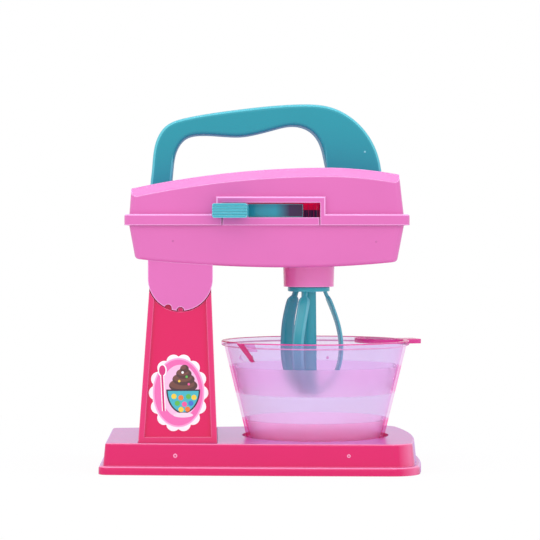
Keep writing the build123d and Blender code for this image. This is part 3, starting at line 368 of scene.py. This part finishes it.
# %% [markdown]
# ## One finish for each colour
#
# Every colour is the same plastic with its own few values. The solid model has real fillets at
# some edges, and no Bevel node finds those, so a small function tells them by the way that they
# face, and they get the painted highlight too. Another kind of function marks a region with a
# colour of its own: painted light on the thin nose, painted shade on the lower half of the gear
# and on the far end of the lever's shutter, and the column's panel, whose darker colour is its
# own.

# %% Light pink, for the head
frame_middle_x = 4.6
frame_half_width = 38.0
frame_low_z = 165.5
frame_top_z = 180.2
facet_low_z = 176.0
nose_top = 0.1326


def head_highlight_fillets(board, place, facing):
    """The fillets on the flange's top edge and on the frame round the lever's slot, which get a
    painted highlight.
    """
    up = part_of(board, facing, "Z")
    aside = size_of(board, part_of(board, facing, "X"))
    height = part_of(board, place, "Z") * mm_per_metre
    from_middle = size_of(board, part_of(board, place, "X") * mm_per_metre - frame_middle_x)
    by_frame = from_middle < frame_half_width
    below_facet = board.clip((height < facet_low_z) + (height < frame_top_z) * by_frame)
    on_frame = by_frame * (height > frame_low_z) * (height < frame_top_z)
    return (up > 0.3) * (up < 0.97) * below_facet + (aside > 0.3) * (aside < 0.95) * on_frame


def nose_painted_light(board, place):
    """The nose over the bowl, painted lighter: painted light for a thin wall that light passes
    through from inside.
    """
    return (part_of(board, place, "Z") < nose_top) * (part_of(board, place, "X") > 0.0)


# The nose's lighter pink is painted light, and the fillets get a painted highlight.
head_pink = moulded_plastic(
    "light_pink_plastic",
    paint("E270BA"),
    paint("FFBAF1"),
    panel=(nose_painted_light, paint("F488CC")),
    highlight_fillets=head_highlight_fillets,
)
print("head:", head_pink.name, "with", len(head_pink.node_tree.nodes), "nodes")

# %% Hot pink, for the base
# Strength of the painted highlight on the base's right-hand corners.
corner_highlight_share = 0.6


def upper_highlight_fillets(board, place, facing):
    """The fillets that look half upwards, where the painted highlight goes."""
    up = part_of(board, facing, "Z")
    return (up > 0.55) * (up < 0.97)


def base_highlight_fillets(board, place, facing):
    """Where the base gets a painted highlight: its upper fillets, and more faintly its right-hand
    corners, but not its end.
    """
    aside = part_of(board, facing, "X")
    turned = board.clip((aside - 0.24) * 2.0)
    short_of_end = board.clip((0.97 - aside) * 6.0)
    return upper_highlight_fillets(board, place, facing) + turned * short_of_end * corner_highlight_share


base_pink = moulded_plastic(
    "hot_pink_plastic",
    paint("DF1468"),
    paint("F88DBB"),
    bloom=paint("C9B6F4"),
    highlight_fillets=base_highlight_fillets,
)
print("base:", base_pink.name, "with", len(base_pink.node_tree.nodes), "nodes")

# %% Hot pink, for the gears and their plate
gear_shade_top = 0.1708


def gear_painted_shade(board, place):
    """1 on the lower half of the gear, painted dark as the shade that the shutter and the slot's
    sill cast on it.
    """
    return part_of(board, place, "Z") < gear_shade_top


# The lower half gets painted shade, and the glow is a painted glow that lets the gear show in the
# dark slot.
gear_pink = moulded_plastic(
    "gear_pink_plastic",
    paint("D2104E"),
    paint("B01E60"),
    panel=(gear_painted_shade, paint("2C2448")),
    glow=0.42,
)
print("gears:", gear_pink.name, "with", len(gear_pink.node_tree.nodes), "nodes")

# %% Teal, for the handle, the whisk and the lever
shutter_shade_x = 8.0
shutter_shade_length = 9.0


def handle_highlight_fillets(board, place, facing):
    """The fillets of the handle's front edges, where they don't look down; they get a painted
    highlight.
    """
    front = size_of(board, part_of(board, facing, "Y"))
    return (front > 0.3) * (front < 0.92) * (part_of(board, facing, "Z") > -0.1)


def shutter_painted_shade(board, place):
    """0 on the lever's pad, 1 at the far end of its shutter: painted shade for the slot's shade
    that lies there.
    """
    past_pad = part_of(board, place, "X") * mm_per_metre - shutter_shade_x
    return board.clip(past_pad / shutter_shade_length)


# The handle's front fillets get a painted highlight.
teal = moulded_plastic(
    "teal_plastic",
    paint("1E98A8"),
    paint("5EC6D3"),
    gloss=0.3,
    bloom=paint("2C78A8"),
    highlight_fillets=handle_highlight_fillets,
)
# The whisk's glow is a painted glow that lightens its blades in the head's shade; the second,
# lighter teal is a painted highlight for the blades' narrow sides.
whisk_teal = moulded_plastic("whisk_teal_plastic", paint("2E9BA8"), paint("66C6D4"), glow=0.16)
whisk_highlight = moulded_plastic("whisk_rim_plastic", paint("5CB8C6"), paint("84D4E0"))
# The shutter's far end is painted dark: painted shade.
pad_teal = moulded_plastic(
    "pad_teal_plastic", paint("2EA9BD"), paint("84DEE9"), panel=(shutter_painted_shade, paint("402258"))
)
print("plastic finishes:", [m.name for m in bpy.data.materials])

# %% The column's sunken panel
panel_low_z = 23.6
panel_middle_x = -56.0
panel_middle_lean = 0.01512
panel_half_width = 22.9
panel_taper = 0.05435


def sunken_panel(board, place):
    """1 on the column's panel, 0 on its borders and on the sides."""
    across = part_of(board, place, "X") * mm_per_metre
    height = part_of(board, place, "Z") * mm_per_metre
    middle = panel_middle_x + height * panel_middle_lean
    half = panel_half_width - height * panel_taper
    return (size_of(board, across - middle) < half) * (height > panel_low_z)


column_pink = moulded_plastic(
    "column_pink_plastic", paint("E42F74"), paint("F2689C"), panel=(sunken_panel, paint("DF1260"))
)
print("the panel is darker than its borders, from", panel_low_z, "mm up")

# %% [markdown]
# ## Steel
#
# The screws are plated, so they reflect instead of showing a colour of their own. A fine haze
# keeps them from looking like mirrors.

# %% Steel of the screws
def plated_steel(name):
    """Bright zinc on small turned parts."""
    board = Board(bpy.data.materials.new(name))
    place = board.node("ShaderNodeTexCoord", output="Object")
    haze = board.node("ShaderNodeTexNoise", {}, {"Vector": place, "Scale": 400.0, "Detail": 2.0})
    shade = board.mix(haze, paint("A9ABB0"), paint("D5D6DA"))
    finish = board.node(
        "ShaderNodeBsdfPrincipled",
        {},
        {"Base Color": shade, "Metallic": 1.0, "Roughness": 0.22 + 0.2 * haze},
    )
    board.node("ShaderNodeOutputMaterial", {}, {"Surface": finish})
    return board.owner


steel = plated_steel("screw_steel")
print("screws:", steel.name)

# %% [markdown]
# ## Clear and frosted lilac
#
# The bowl lets light through, tinted once by each face that it crosses. Real refraction would
# darken the inside, because lamps don't shine through it in a renderer. A thin wall bends light
# so little that a tinted Transparent shader with a little gloss looks the same and stays bright.
# The frosted bands scatter what is behind them, so there a rough, almost unbending
# transmission takes over.

# %% Clear wall
lower_band_top_z = 31.2
upper_band_low_z = 49.0
upper_band_top_z = 66.8


def clear_lilac(name):
    """Tinted clear plastic with two frosted bands, told apart by height."""
    board = Board(bpy.data.materials.new(name))
    place = board.node("ShaderNodeTexCoord", output="Object")
    height = part_of(board, place, "Z") * mm_per_metre
    upper_band = (height > upper_band_low_z) * (height < upper_band_top_z)
    lower_band = height < lower_band_top_z
    frost = board.clip(upper_band + lower_band)
    haze = board.node("ShaderNodeTexNoise", {}, {"Vector": place, "Scale": 45.0, "Detail": 3.0})
    slant = board.node("ShaderNodeLayerWeight", {}, {"Blend": 0.5}, "Facing")
    along_wall = board.clip(slant**4 + 0.45 * frost * slant * slant)
    straight = board.node("ShaderNodeBsdfTransparent", {}, {"Color": paint("FBF7FF")})
    side_colour = board.mix(frost, paint("FFE4F7"), paint("FFCCEC"))
    side_colour = board.mix(lower_band, side_colour, paint("FFA4D8"))
    lengthwise = board.node("ShaderNodeBsdfTransparent", {}, {"Color": side_colour})
    tint = board.node("ShaderNodeMixShader", {}, {0: along_wall, 1: straight, 2: lengthwise})
    skin = board.node(
        "ShaderNodeBsdfPrincipled",
        {},
        {"Base Color": paint("DDBFFA"), "Roughness": 0.05 + 0.06 * haze, "IOR": plastic_ior},
    )
    clear = board.node("ShaderNodeMixShader", {}, {0: 0.10 + 0.04 * haze, 1: tint, 2: skin})
    frosted_colour = board.mix(lower_band, paint("EDCEF1"), paint("FFD6F8"))
    # The frosted bands' faint emission is a painted glow.
    frosted = board.node(
        "ShaderNodeBsdfPrincipled",
        {},
        {
            "Base Color": frosted_colour,
            "Roughness": 0.5 + 0.08 * haze,
            "IOR": 1.12,
            "Transmission Weight": 0.86,
            "Emission Color": frosted_colour,
            "Emission Strength": 0.05,
        },
    )
    front_on = frost * board.clip(1.1 - slant * slant * 1.9) * (1.0 - 0.25 * lower_band)
    look = board.node("ShaderNodeMixShader", {}, {0: front_on, 1: clear, 2: frosted})
    board.node("ShaderNodeOutputMaterial", {}, {"Surface": look})
    return board.owner


lilac = clear_lilac("clear_lilac_plastic")
print("frosted up to", lower_band_top_z, "and from", upper_band_low_z, "to", upper_band_top_z)

# %% Glowing edges
def glowing_edge(name, colour, light, opacity=0.82):
    """The bowl's thin edges, which give back light that ran along inside the wall."""
    board = Board(bpy.data.materials.new(name))
    place = board.node("ShaderNodeTexCoord", output="Object")
    streak = board.node("ShaderNodeTexNoise", {}, {"Vector": place, "Scale": 160.0, "Detail": 2.0})
    shade = board.mix(streak, colour, light)
    finish = board.node(
        "ShaderNodeBsdfPrincipled",
        {},
        {
            "Base Color": shade,
            "Roughness": 0.18 + 0.1 * streak,
            "Alpha": opacity + 0.1 * streak,
            "Emission Color": shade,
            "Emission Strength": 0.04,
        },
    )
    board.node("ShaderNodeOutputMaterial", {}, {"Surface": finish})
    return board.owner


hot_edge = glowing_edge("bowl_edge_glow", paint("CE1078"), paint("EC40A8"))
ridge_edge = glowing_edge("bowl_spout_glow", paint("BC0F60"), paint("DC3585"), opacity=0.9)
soft_edge = glowing_edge("bowl_edge_soft", paint("E58AD4"), paint("F4C0EC"))
print("edge finishes:", hot_edge.name, ridge_edge.name, soft_edge.name)

# %% [markdown]
# ## Badge
#
# The column carries a printed film. This one shows a mixing bowl with icing and coloured dots,
# drawn with nothing but distances: a shape is the place where a distance is less than a size.
# The film lies on a sloping panel, so its own two directions are worked out first.

# %% Printed film
badge_x = -55.2
badge_z = 52.0
badge_rise = 0.9902


def printed_badge(name):
    """A mixing bowl, icing and dots, printed on a scalloped film."""
    board = Board(bpy.data.materials.new(name))
    place = board.node("ShaderNodeTexCoord", output="Object")
    across = part_of(board, place, "X") * mm_per_metre - badge_x
    along = (part_of(board, place, "Z") * mm_per_metre - badge_z) / badge_rise

    def oval(x, y, half_width, half_height):
        """1 inside an oval, 0 outside it."""
        reach_x = (across - x) / half_width
        reach_y = (along - y) / half_height
        return (reach_x * reach_x + reach_y * reach_y) < 1.0

    def band(x, y, lean, length, width):
        """1 inside a straight band that starts at a point and leans from the upright."""
        east = across - x
        north = along - y
        run = east * sin(lean) + north * cos(lean)
        side = size_of(board, east * cos(lean) - north * sin(lean))
        return (run > 0.0) * (run < length) * (side < width / 2)

    picture = paint("F9A7D8")
    white_field = oval(0, 0, 16.6, 22.4)
    picture = board.mix(white_field, paint("FFF4FB"), picture)
    field = oval(0, 0, 15.6, 21.4)
    picture = board.mix(field, picture, paint("F26BB5"))
    light_field = oval(1, 1, 12.2, 17.0)
    picture = board.mix(light_field, picture, paint("FBC1E3"))
    spoon = board.clip(band(-9.5, -12.0, -0.05, 26.0, 2.4) + oval(-10.6, 14.4, 2.9, 4.2))
    picture = board.mix(spoon, picture, paint("FFFFFF"))
    spoon_face = board.clip(band(-9.5, -12.0, -0.05, 26.0, 1.3) + oval(-10.6, 14.4, 2.1, 3.3))
    picture = board.mix(spoon_face, picture, paint("D81E78"))
    swirls = (
        (3.0, 4.5, 9.2, 4.6), (3.2, 8.6, 7.2, 4.0), (3.4, 12.2, 5.0, 3.4), (3.8, 15.4, 2.8, 2.6)
    )
    for x, y, half_width, half_height in swirls:
        picture = board.mix(oval(x, y, half_width, half_height), picture, paint("4A2A24"))
        lit = oval(x - 0.8, y + 0.9, half_width - 1.1, half_height - 1.3)
        picture = board.mix(lit, picture, paint("6E4034"))
    dish = oval(3.0, 1.8, 11.0, 15.4) * (along < 2.0)
    picture = board.mix(dish, picture, paint("241A2E"))
    dish_face = oval(3.0, 1.8, 10.0, 14.4) * (along < 1.0)
    picture = board.mix(dish_face, picture, paint("37B7C6"))
    dots = (
        (-3.0, -2.5, "F4D03A"), (1.5, -3.4, "F07A2C"), (6.4, -2.6, "57B947"),
        (10.0, -3.2, "F4D03A"), (-0.8, -7.0, "57B947"), (3.8, -7.6, "F2559E"),
        (8.0, -7.0, "3C6FD0"), (1.6, -11.0, "F4D03A"), (5.8, -10.8, "F07A2C"),
    )
    for x, y, code in dots:
        picture = board.mix(oval(x, y, 1.7, 1.7), picture, paint(code))
    sprinkles = (
        (0.4, 7.4, "F4D03A"), (5.2, 10.2, "57B947"), (6.6, 5.4, "F2559E"), (2.6, 13.0, "FFFFFF")
    )
    for x, y, code in sprinkles:
        picture = board.mix(oval(x, y, 0.8, 0.8), picture, paint(code))
    foot = oval(3.0, -14.6, 6.4, 1.6)
    picture = board.mix(foot, picture, paint("F4D9EC"))
    speckle = board.node("ShaderNodeTexNoise", {}, {"Vector": place, "Scale": 2600.0})
    picture = board.mix(0.05 * speckle, picture, paint("C0428C"))
    finish = board.node(
        "ShaderNodeBsdfPrincipled",
        {},
        {"Base Color": picture, "Roughness": 0.28 + 0.08 * speckle, "Coat Weight": 0.3},
    )
    board.node("ShaderNodeOutputMaterial", {}, {"Surface": finish})
    return board.owner


badge_film = printed_badge("badge_film")
print("badge film has", len(badge_film.node_tree.nodes), "nodes")

# %% [markdown]
# ## The bowl
#
# On the real toy the bowl is one clear moulding: a cone with a thicker rim, a pouring spout
# pinched out of the wall, a small shelf inside the rim and a grip tab outside it. It could be
# carved from a solid, but a lathe is simpler: a profile goes round the axis in columns, and
# where the spout stands, the columns are pulled out to a straight-sided V. The thin edges get
# their own finish, because they glow with the light that runs inside the clear wall.

# %% The bowl's sizes
bowl_x = 35.8
bowl_foot_z = 17.4
bowl_foot_radius = 45.8
bowl_neck_z = 80.3
bowl_neck_radius = 61.1
bowl_rim_z = 83.7
bowl_rim_radius = 63.0
bowl_wall = 1.8
bowl_floor = 2.0
spout_angle = 221.5
spout_half_angle = 9.5
spout_apex_z = 71.0
spout_reach = 8.4
bowl_floor_z = bowl_foot_z + bowl_floor
bowl_slope = (bowl_neck_radius - bowl_foot_radius) / (bowl_neck_z - bowl_foot_z)


def cone_radius(z):
    """Radius of the bowl's outer wall at a height."""
    return bowl_foot_radius + (min(z, bowl_neck_z) - bowl_foot_z) * bowl_slope


print("the wall leans out by", round(degrees(atan(bowl_slope)), 1), "degrees")

# %% The spout's V
spout_base = bowl_neck_radius * cos(radians(spout_half_angle))
spout_half = bowl_neck_radius * sin(radians(spout_half_angle))
spout_tip = bowl_rim_radius + spout_reach
spout_turn = atan2(spout_half, spout_tip - spout_base)


def spout_radius(offset, z, inset):
    """Radius of the V at an angle from its middle, or 0 where it has none."""
    rise = (z - spout_apex_z) / (bowl_rim_z - spout_apex_z)
    if rise <= 0 or abs(offset) > spout_half_angle:
        return 0.0
    apex = cone_radius(spout_apex_z)
    tip = apex + rise * (spout_tip - apex) - inset / sin(spout_turn)
    base = apex + rise * (spout_base - apex) - 0.5
    half = 0.5 + rise * (spout_half - 0.5)
    slope = tan(radians(abs(offset)))
    share = slope * tip / (half + slope * (tip - base))
    return (tip - share * (tip - base)) / cos(radians(offset))


print("the spout reaches", round(spout_tip - bowl_rim_radius, 1), "mm past the rim")

# %% The profile that goes round
wall_heights = (
    24.0, lower_band_top_z, 40.0, upper_band_low_z, 58.0, upper_band_top_z, spout_apex_z,
    73.0, 75.5, 78.0,
)
outer_profile = [(radius, bowl_foot_z) for radius in (0.0, 30.0, 44.9)]
outer_profile += [(45.6, 17.7), (46.0, 18.4)]
outer_profile += [(cone_radius(z), z) for z in wall_heights]
outer_profile += [(61.0, 79.9), (61.6, 80.3), (62.5, 80.4)]
outer_profile += [(bowl_rim_radius, 80.9), (bowl_rim_radius, 83.0)]
rim_profile = [(62.9, 83.3), (62.5, 83.65), (61.9, bowl_rim_z)]
lip_profile = [(60.1, bowl_rim_z), (59.6, 83.6), (59.3, 83.2)]
inner_profile = [(cone_radius(z) - bowl_wall, z) for z in reversed(wall_heights)]
inner_profile += [(44.6, 21.0), (43.6, 19.8)]
inner_profile += [(radius, bowl_floor_z) for radius in (42.4, 25.0, 0.0)]
outside = outer_profile + rim_profile
inside = lip_profile + inner_profile
print("profile points:", len(outside) + len(inside))

# %% Turn the profile into a mesh
spout_steps = 12
wall_steps = 150
wall_turn = 360 - 2 * spout_half_angle
spout_columns = [
    step * spout_half_angle / spout_steps for step in range(-spout_steps, spout_steps + 1)
]
wall_columns = [
    spout_half_angle + step * wall_turn / wall_steps for step in range(1, wall_steps)
]
bowl_columns = spout_columns + wall_columns
bowl_rows = [(radius, z, 0.0) for radius, z in outside]
bowl_rows += [(radius, z, bowl_wall) for radius, z in inside]


def lathe(rows, columns, place):
    """A mesh with one ring of points to each row; rows on the axis become a single point."""
    sheet = bmesh.new()
    rings = []
    for row in rows:
        if row[0] == 0:
            rings.append([sheet.verts.new(place(row, 0.0))] * len(columns))
        else:
            rings.append([sheet.verts.new(place(row, column)) for column in columns])
    for low, high in zip(rings, rings[1:]):
        for here in range(len(columns)):
            ahead = (here + 1) % len(columns)
            corners = [low[here], low[ahead], high[ahead], high[here]]
            sheet.faces.new(list(dict.fromkeys(corners)))
    return sheet


def bowl_point(row, column):
    """Where a point of the profile comes, in metres."""
    radius, z, inset = row
    offset = column if column <= 180 else column - 360
    pushed = spout_radius(offset, z, inset)
    radius = max(radius, pushed) if radius > 40 else radius
    turn = radians(spout_angle + column)
    return Vector((bowl_x + radius * cos(turn), radius * sin(turn), z)) * MM


bowl_sheet = lathe(bowl_rows, bowl_columns, bowl_point)
print("bowl faces:", len(bowl_sheet.faces))

# %% Shelf and tab
shelf_angle = 28.0
shelf_radius = 24.0
shelf_low_z = 80.7
tab_angle = 16.0
tab_half_width = 10.0
tab_corner = 3.0
tab_reach = 10.2
tab_root = bowl_rim_radius - 2.0
slab_top_z = bowl_rim_z - 0.05
bowl_inner_radius = bowl_neck_radius - bowl_wall
hot_slot, soft_slot, ridge_slot = 1, 2, 3


def slab(sheet, outline):
    """Close an outline into a flat slab at the rim; its side faces get the glowing finish."""
    lower = [sheet.verts.new(Vector((x, y, shelf_low_z)) * MM) for x, y in outline]
    upper = [sheet.verts.new(Vector((x, y, slab_top_z)) * MM) for x, y in outline]
    sheet.faces.new(list(reversed(lower)))
    sheet.faces.new(upper)
    for here in range(len(outline)):
        ahead = (here + 1) % len(outline)
        side = sheet.faces.new([lower[here], lower[ahead], upper[ahead], upper[here]])
        side.material_index = hot_slot


def shelf_outline():
    """The part of a disc, centred on the inner wall, that lies inside the bowl."""
    middle = radians(shelf_angle)
    half = acos(1 - shelf_radius**2 / (2 * bowl_inner_radius**2))
    spread = acos(shelf_radius / (2 * bowl_inner_radius))
    wall_reach = bowl_inner_radius + 0.6
    points = []
    for step in range(25):
        turn = middle + half - 2 * half * step / 24
        points.append((bowl_x + wall_reach * cos(turn), wall_reach * sin(turn)))
    centre = (bowl_x + bowl_inner_radius * cos(middle), bowl_inner_radius * sin(middle))
    for step in range(1, 36):
        turn = middle + radians(180) + spread - 2 * spread * step / 36
        points.append((centre[0] + shelf_radius * cos(turn), centre[1] + shelf_radius * sin(turn)))
    return list(reversed(points))


def tab_outline():
    """A rounded tongue that starts in the rim and stands out from it."""
    out = radians(tab_angle)
    corner_u = bowl_rim_radius + tab_reach - tab_corner
    corner_v = tab_half_width - tab_corner
    local = [(tab_root, -tab_half_width)]
    for middle_v, start in ((-corner_v, -90), (corner_v, 0)):
        for step in range(7):
            turn = radians(start + 15 * step)
            local.append((corner_u + tab_corner * cos(turn), middle_v + tab_corner * sin(turn)))
    local.append((tab_root, tab_half_width))
    return [
        (bowl_x + u * cos(out) - v * sin(out), u * sin(out) + v * cos(out)) for u, v in local
    ]


slab(bowl_sheet, shelf_outline())
slab(bowl_sheet, tab_outline())
print("bowl faces with shelf and tab:", len(bowl_sheet.faces))

# %% Finish the bowl's edges
rim_edge_low_z = 83.05
rim_step_low_z = 79.9
rim_step_top_z = 80.95
ridge_depth = 1.2
ridge_width = 2.6


def mark_edges(sheet):
    """Mark the faces that glow: the rim's top edge, its lower step and the spout's ridge.

    The spout's left flank is seen along its own length, so the strip beside its ridge glows.
    """
    apex = cone_radius(spout_apex_z)
    out = radians(spout_angle)
    for face in sheet.faces:
        if face.material_index:
            continue
        centre = face.calc_center_median() / MM
        radius = ((centre.x - bowl_x) ** 2 + centre.y**2) ** 0.5
        across = -(centre.x - bowl_x) * sin(out) + centre.y * cos(out)
        along = (centre.x - bowl_x) * cos(out) + centre.y * sin(out)
        rise = (centre.z - spout_apex_z) / (bowl_rim_z - spout_apex_z)
        depth = apex + rise * (spout_tip - apex) - along
        by_ridge = -0.1 < across < ridge_width and rise > -0.05
        if centre.z > rim_edge_low_z and radius > bowl_inner_radius - 0.4:
            face.material_index = hot_slot
        elif by_ridge and depth < ridge_depth + across / tan(spout_turn):
            face.material_index = ridge_slot
        elif rim_step_low_z < centre.z < rim_step_top_z and radius > bowl_neck_radius - 0.3:
            face.material_index = soft_slot


mark_edges(bowl_sheet)
print("glowing faces:", sum(face.material_index > 0 for face in bowl_sheet.faces))

# %% Put a mesh in the scene
def settle(name, sheet, finishes, body, crease=35.0):
    """Turn a bmesh into a piece that rides on a body, smooth except at its sharp edges."""
    bmesh.ops.recalc_face_normals(sheet, faces=sheet.faces)
    mesh = bpy.data.meshes.new(name)
    sheet.to_mesh(mesh)
    sheet.free()
    mesh.shade_smooth()
    mesh.set_sharp_from_angle(angle=radians(crease))
    for finish in finishes:
        mesh.materials.append(finish)
    piece = bpy.data.objects.new(name, mesh)
    bpy.context.scene.collection.objects.link(piece)
    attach(piece, body)
    return piece


clear_bowl = settle("clear_bowl", bowl_sheet, (lilac, hot_edge, soft_edge, ridge_edge), "bowl")
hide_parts("bowl")
print("bowl stands", round(bowl_rim_z - bowl_foot_z, 1), "mm high")

# %% [markdown]
# ## The whisk
#
# The real whisk is one teal moulding: a disc that hides the spindle's end, a tapering shaft, and
# three flat blades that leave the disc by narrow necks, widen at a round shoulder, belly out and
# meet in a hub. Round parts come from the lathe. A blade is swept: the same eight-sided section
# is set along a line at its own width, turned a little near the disc, and a subdivision surface
# rounds it all. The blades' narrow sides get a lighter teal, a painted highlight, and the whole
# whisk has a faint painted glow.

# %% Disc, shaft and hub
spindle_x = 31.4
whisk_rows = [
    (0.0, 119.3), (11.0, 119.3), (13.4, 119.3), (13.95, 119.1), (14.1, 118.7), (14.1, 116.9),
    (13.95, 116.5), (13.5, 116.3), (6.0, 116.3), (5.1, 116.1), (4.9, 115.5), (5.0, 108.0),
    (5.2, 90.0), (5.4, 65.0), (5.5, 52.6), (6.4, 52.0), (6.9, 51.4), (7.0, 50.6), (7.0, 48.0),
    (6.8, 47.3), (6.2, 47.0), (0.0, 47.0),
]
whisk_columns = [step * 360 / 64 for step in range(64)]


def whisk_point(row, column):
    """Where a point of the whisk's profile comes, in metres."""
    turn = radians(column)
    return Vector((spindle_x + row[0] * cos(turn), row[0] * sin(turn), row[1])) * MM


whisk_sheet = lathe(whisk_rows, whisk_columns, whisk_point)
print("whisk's turned faces:", len(whisk_sheet.faces))

# %% Blades
blade_line = (
    (11.0, 117.4, 1.8), (11.9, 115.4, 1.8), (12.8, 113.3, 1.8), (13.3, 112.6, 2.2),
    (13.9, 111.5, 3.6), (14.7, 109.8, 4.15), (17.0, 104.0, 4.1), (19.5, 97.0, 4.1),
    (21.3, 90.0, 4.1), (22.3, 82.0, 4.1), (22.3, 75.0, 4.1), (21.3, 67.5, 4.1),
    (18.9, 61.0, 4.0), (15.4, 56.0, 3.9), (11.4, 52.2, 3.7), (8.0, 50.0, 3.4), (5.2, 49.0, 3.2),
)
blade_half_thickness = 1.15
blade_ease = 0.55
blade_stands = ((10.0, 1.0), (128.5, 1.36), (248.5, 0.97))
twist_angle = 7.0
twist_low_z = 85.0
twist_height = 25.0
# The strips not listed here, the blades' narrow sides, get the painted highlight.
flat_strips = (2, 6)


def blade_section(half_width):
    """Eight corners of a flat bar with eased edges: across, through."""
    half = blade_half_thickness
    flat = half_width - blade_ease
    right = ((half_width, -0.4 * half), (half_width, 0.4 * half), (flat, half))
    left = [(-across, through) for across, through in reversed(right)]
    return list(right) + left + [(-flat, -half), (flat, -half)]


def sweep_blade(sheet, angle, breadth):
    """Set the section along the blade's line, in an upright plane that turns near the disc."""
    axis = Vector((spindle_x, 0, 0))
    rings = []
    for here, (radius, z, half_width) in enumerate(blade_line):
        twist = twist_angle * min(max((z - twist_low_z) / twist_height, 0.0), 1.0)
        turn = radians(angle + twist)
        out = Vector((cos(turn), sin(turn), 0))
        aside = Vector((-out.y, out.x, 0))
        before = blade_line[max(here - 1, 0)]
        after = blade_line[min(here + 1, len(blade_line) - 1)]
        run = Vector((after[0] - before[0], after[1] - before[1])).normalized()
        through_way = out * -run.y + Vector((0, 0, run.x))
        centre = axis + out * radius + Vector((0, 0, z))
        rings.append([
            sheet.verts.new((centre + aside * across + through_way * through) * MM)
            for across, through in blade_section(half_width * breadth)
        ])
    for low, high in zip(rings, rings[1:]):
        for here in range(len(low)):
            ahead = (here + 1) % len(low)
            strip = sheet.faces.new([low[here], low[ahead], high[ahead], high[here]])
            strip.material_index = 0 if here in flat_strips else 1
    sheet.faces.new(rings[0])
    sheet.faces.new(list(reversed(rings[-1])))


blade_sheet = bmesh.new()
for angle, breadth in blade_stands:
    sweep_blade(blade_sheet, angle, breadth)
print("blade faces before smoothing:", len(blade_sheet.faces))

# %% Set the whisk under the nose
whisk_core = settle("whisk_core", whisk_sheet, (whisk_teal,), "whisk")
whisk_blades = settle("whisk_blades", blade_sheet, (whisk_teal, whisk_highlight), "whisk", crease=80.0)
smoothing = whisk_blades.modifiers.new("smooth", "SUBSURF")
smoothing.levels = 2
smoothing.render_levels = 2
whisk_blades.parent = whisk_core
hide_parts("whisk")
print("whisk hangs from", whisk_rows[0][1], "to", whisk_rows[-1][1], "mm")

# %% [markdown]
# ## Dress the solid pieces
#
# The base, column, head, handle, lever and gears have their true shape in the solid model, so
# they keep it and get a finish each.

# %% Give each piece its finish
finishes = {
    "base_shell": base_pink,
    "column_front": column_pink,
    "column_rear": column_pink,
    "detent_tooth": base_pink,
    "mechanism_plate": gear_pink,
    "drive_pinion": gear_pink,
    "head_lower_shell": head_pink,
    "head_upper_shell": head_pink,
    "handle_front": teal,
    "handle_back": teal,
    "lever": pad_teal,
    "whisk": teal,
    "bowl": lilac,
    "badge": badge_film,
}


def dress(piece, finish):
    """Give a whole piece one finish."""
    piece.data.materials.clear()
    piece.data.materials.append(finish)


for name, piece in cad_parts.items():
    dress(piece, finishes.get(name, steel))
print("dressed", len(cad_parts), "pieces")

# %% [markdown]
# ## The moulder's marks
#
# Where the plastic ran into each mould, a small round scar is left, as a ring on the base and as
# a dot elsewhere. The light colour of the marks on the base and the handle is a painted glint.
# Each is placed by looking straight in from the front: a ray finds the surface and its slope
# there, so the mark lies exactly on its wall.

# %% Find a place on a wall
def on_wall(piece, x, z):
    """The point and the slope of a piece's near wall at a place given in millimetres."""
    start = Vector((x * MM, -0.3, z * MM))
    hit, point, slope, _ = piece.ray_cast(start, Vector((0, 1, 0)))
    if not hit:
        raise ValueError(f"no wall of {piece.name} at {x}, {z}")
    return point, slope


# %% Gate marks
def gate_mark(name, piece, body, x, z, radius, finish, ring):
    """A flat-topped button or ring, about 0.12 mm proud, turned from a short profile."""
    point, slope = on_wall(piece, x, z)
    turn = slope.to_track_quat("Z", "Y").to_matrix()
    top = (0.8 * radius, 0.12)
    rim = ((radius, 0.04), (1.05 * radius, -0.1))
    if ring:
        rows = ((0.4 * radius, -0.1), (0.46 * radius, 0.1), top, *rim)
    else:
        rows = ((0.0, 0.10), (0.45 * radius, 0.11), top, *rim)

    def mark_point(row, column):
        around = radians(column)
        local = Vector((row[0] * cos(around), row[0] * sin(around), row[1]))
        return point + turn @ (local * MM)

    sheet = lathe(rows, [step * 15 for step in range(24)], mark_point)
    settle(name, sheet, (finish,), body)


# The hot pink and teal marks are lighter than their walls: a painted glint on a real scar.
mark_pink = moulded_plastic("gate_pink", paint("CC62A6"), paint("DC7ABA"))
mark_hot_glint = moulded_plastic("gate_hot_pink", paint("F79CC4"), paint("FFB8D6"))
mark_teal_glint = moulded_plastic("gate_teal", paint("63C4D0"), paint("B4EEF4"))
mark_lilac = glowing_edge("gate_lilac", paint("C470BC"), paint("D090CC"))
base_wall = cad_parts["base_shell"]
head_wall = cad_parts["head_lower_shell"]
handle_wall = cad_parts["handle_front"]
marks = (
    ("gate_base_left", base_wall, "base", -57.2, 12.3, 1.35, mark_hot_glint, True),
    ("gate_base_right", base_wall, "base", 53.9, 12.6, 1.15, mark_hot_glint, True),
    ("gate_head_left", head_wall, "head", -58.9, 150.1, 0.7, mark_pink, False),
    ("gate_head_right", head_wall, "head", 73.2, 149.7, 0.7, mark_pink, False),
    ("gate_handle", handle_wall, "head", 68.2, 209.4, 0.7, mark_teal_glint, False),
    ("gate_bowl", clear_bowl, "bowl", 40.8, 75.1, 0.9, mark_lilac, False),
)
bpy.context.view_layer.update()
for mark in marks:
    gate_mark(*mark)
print("gate marks:", len(marks))

# %% [markdown]
# ## Colour transform
#
# The render shows its colours through the Standard view transform.

bpy.context.scene.view_settings.view_transform = "Standard"
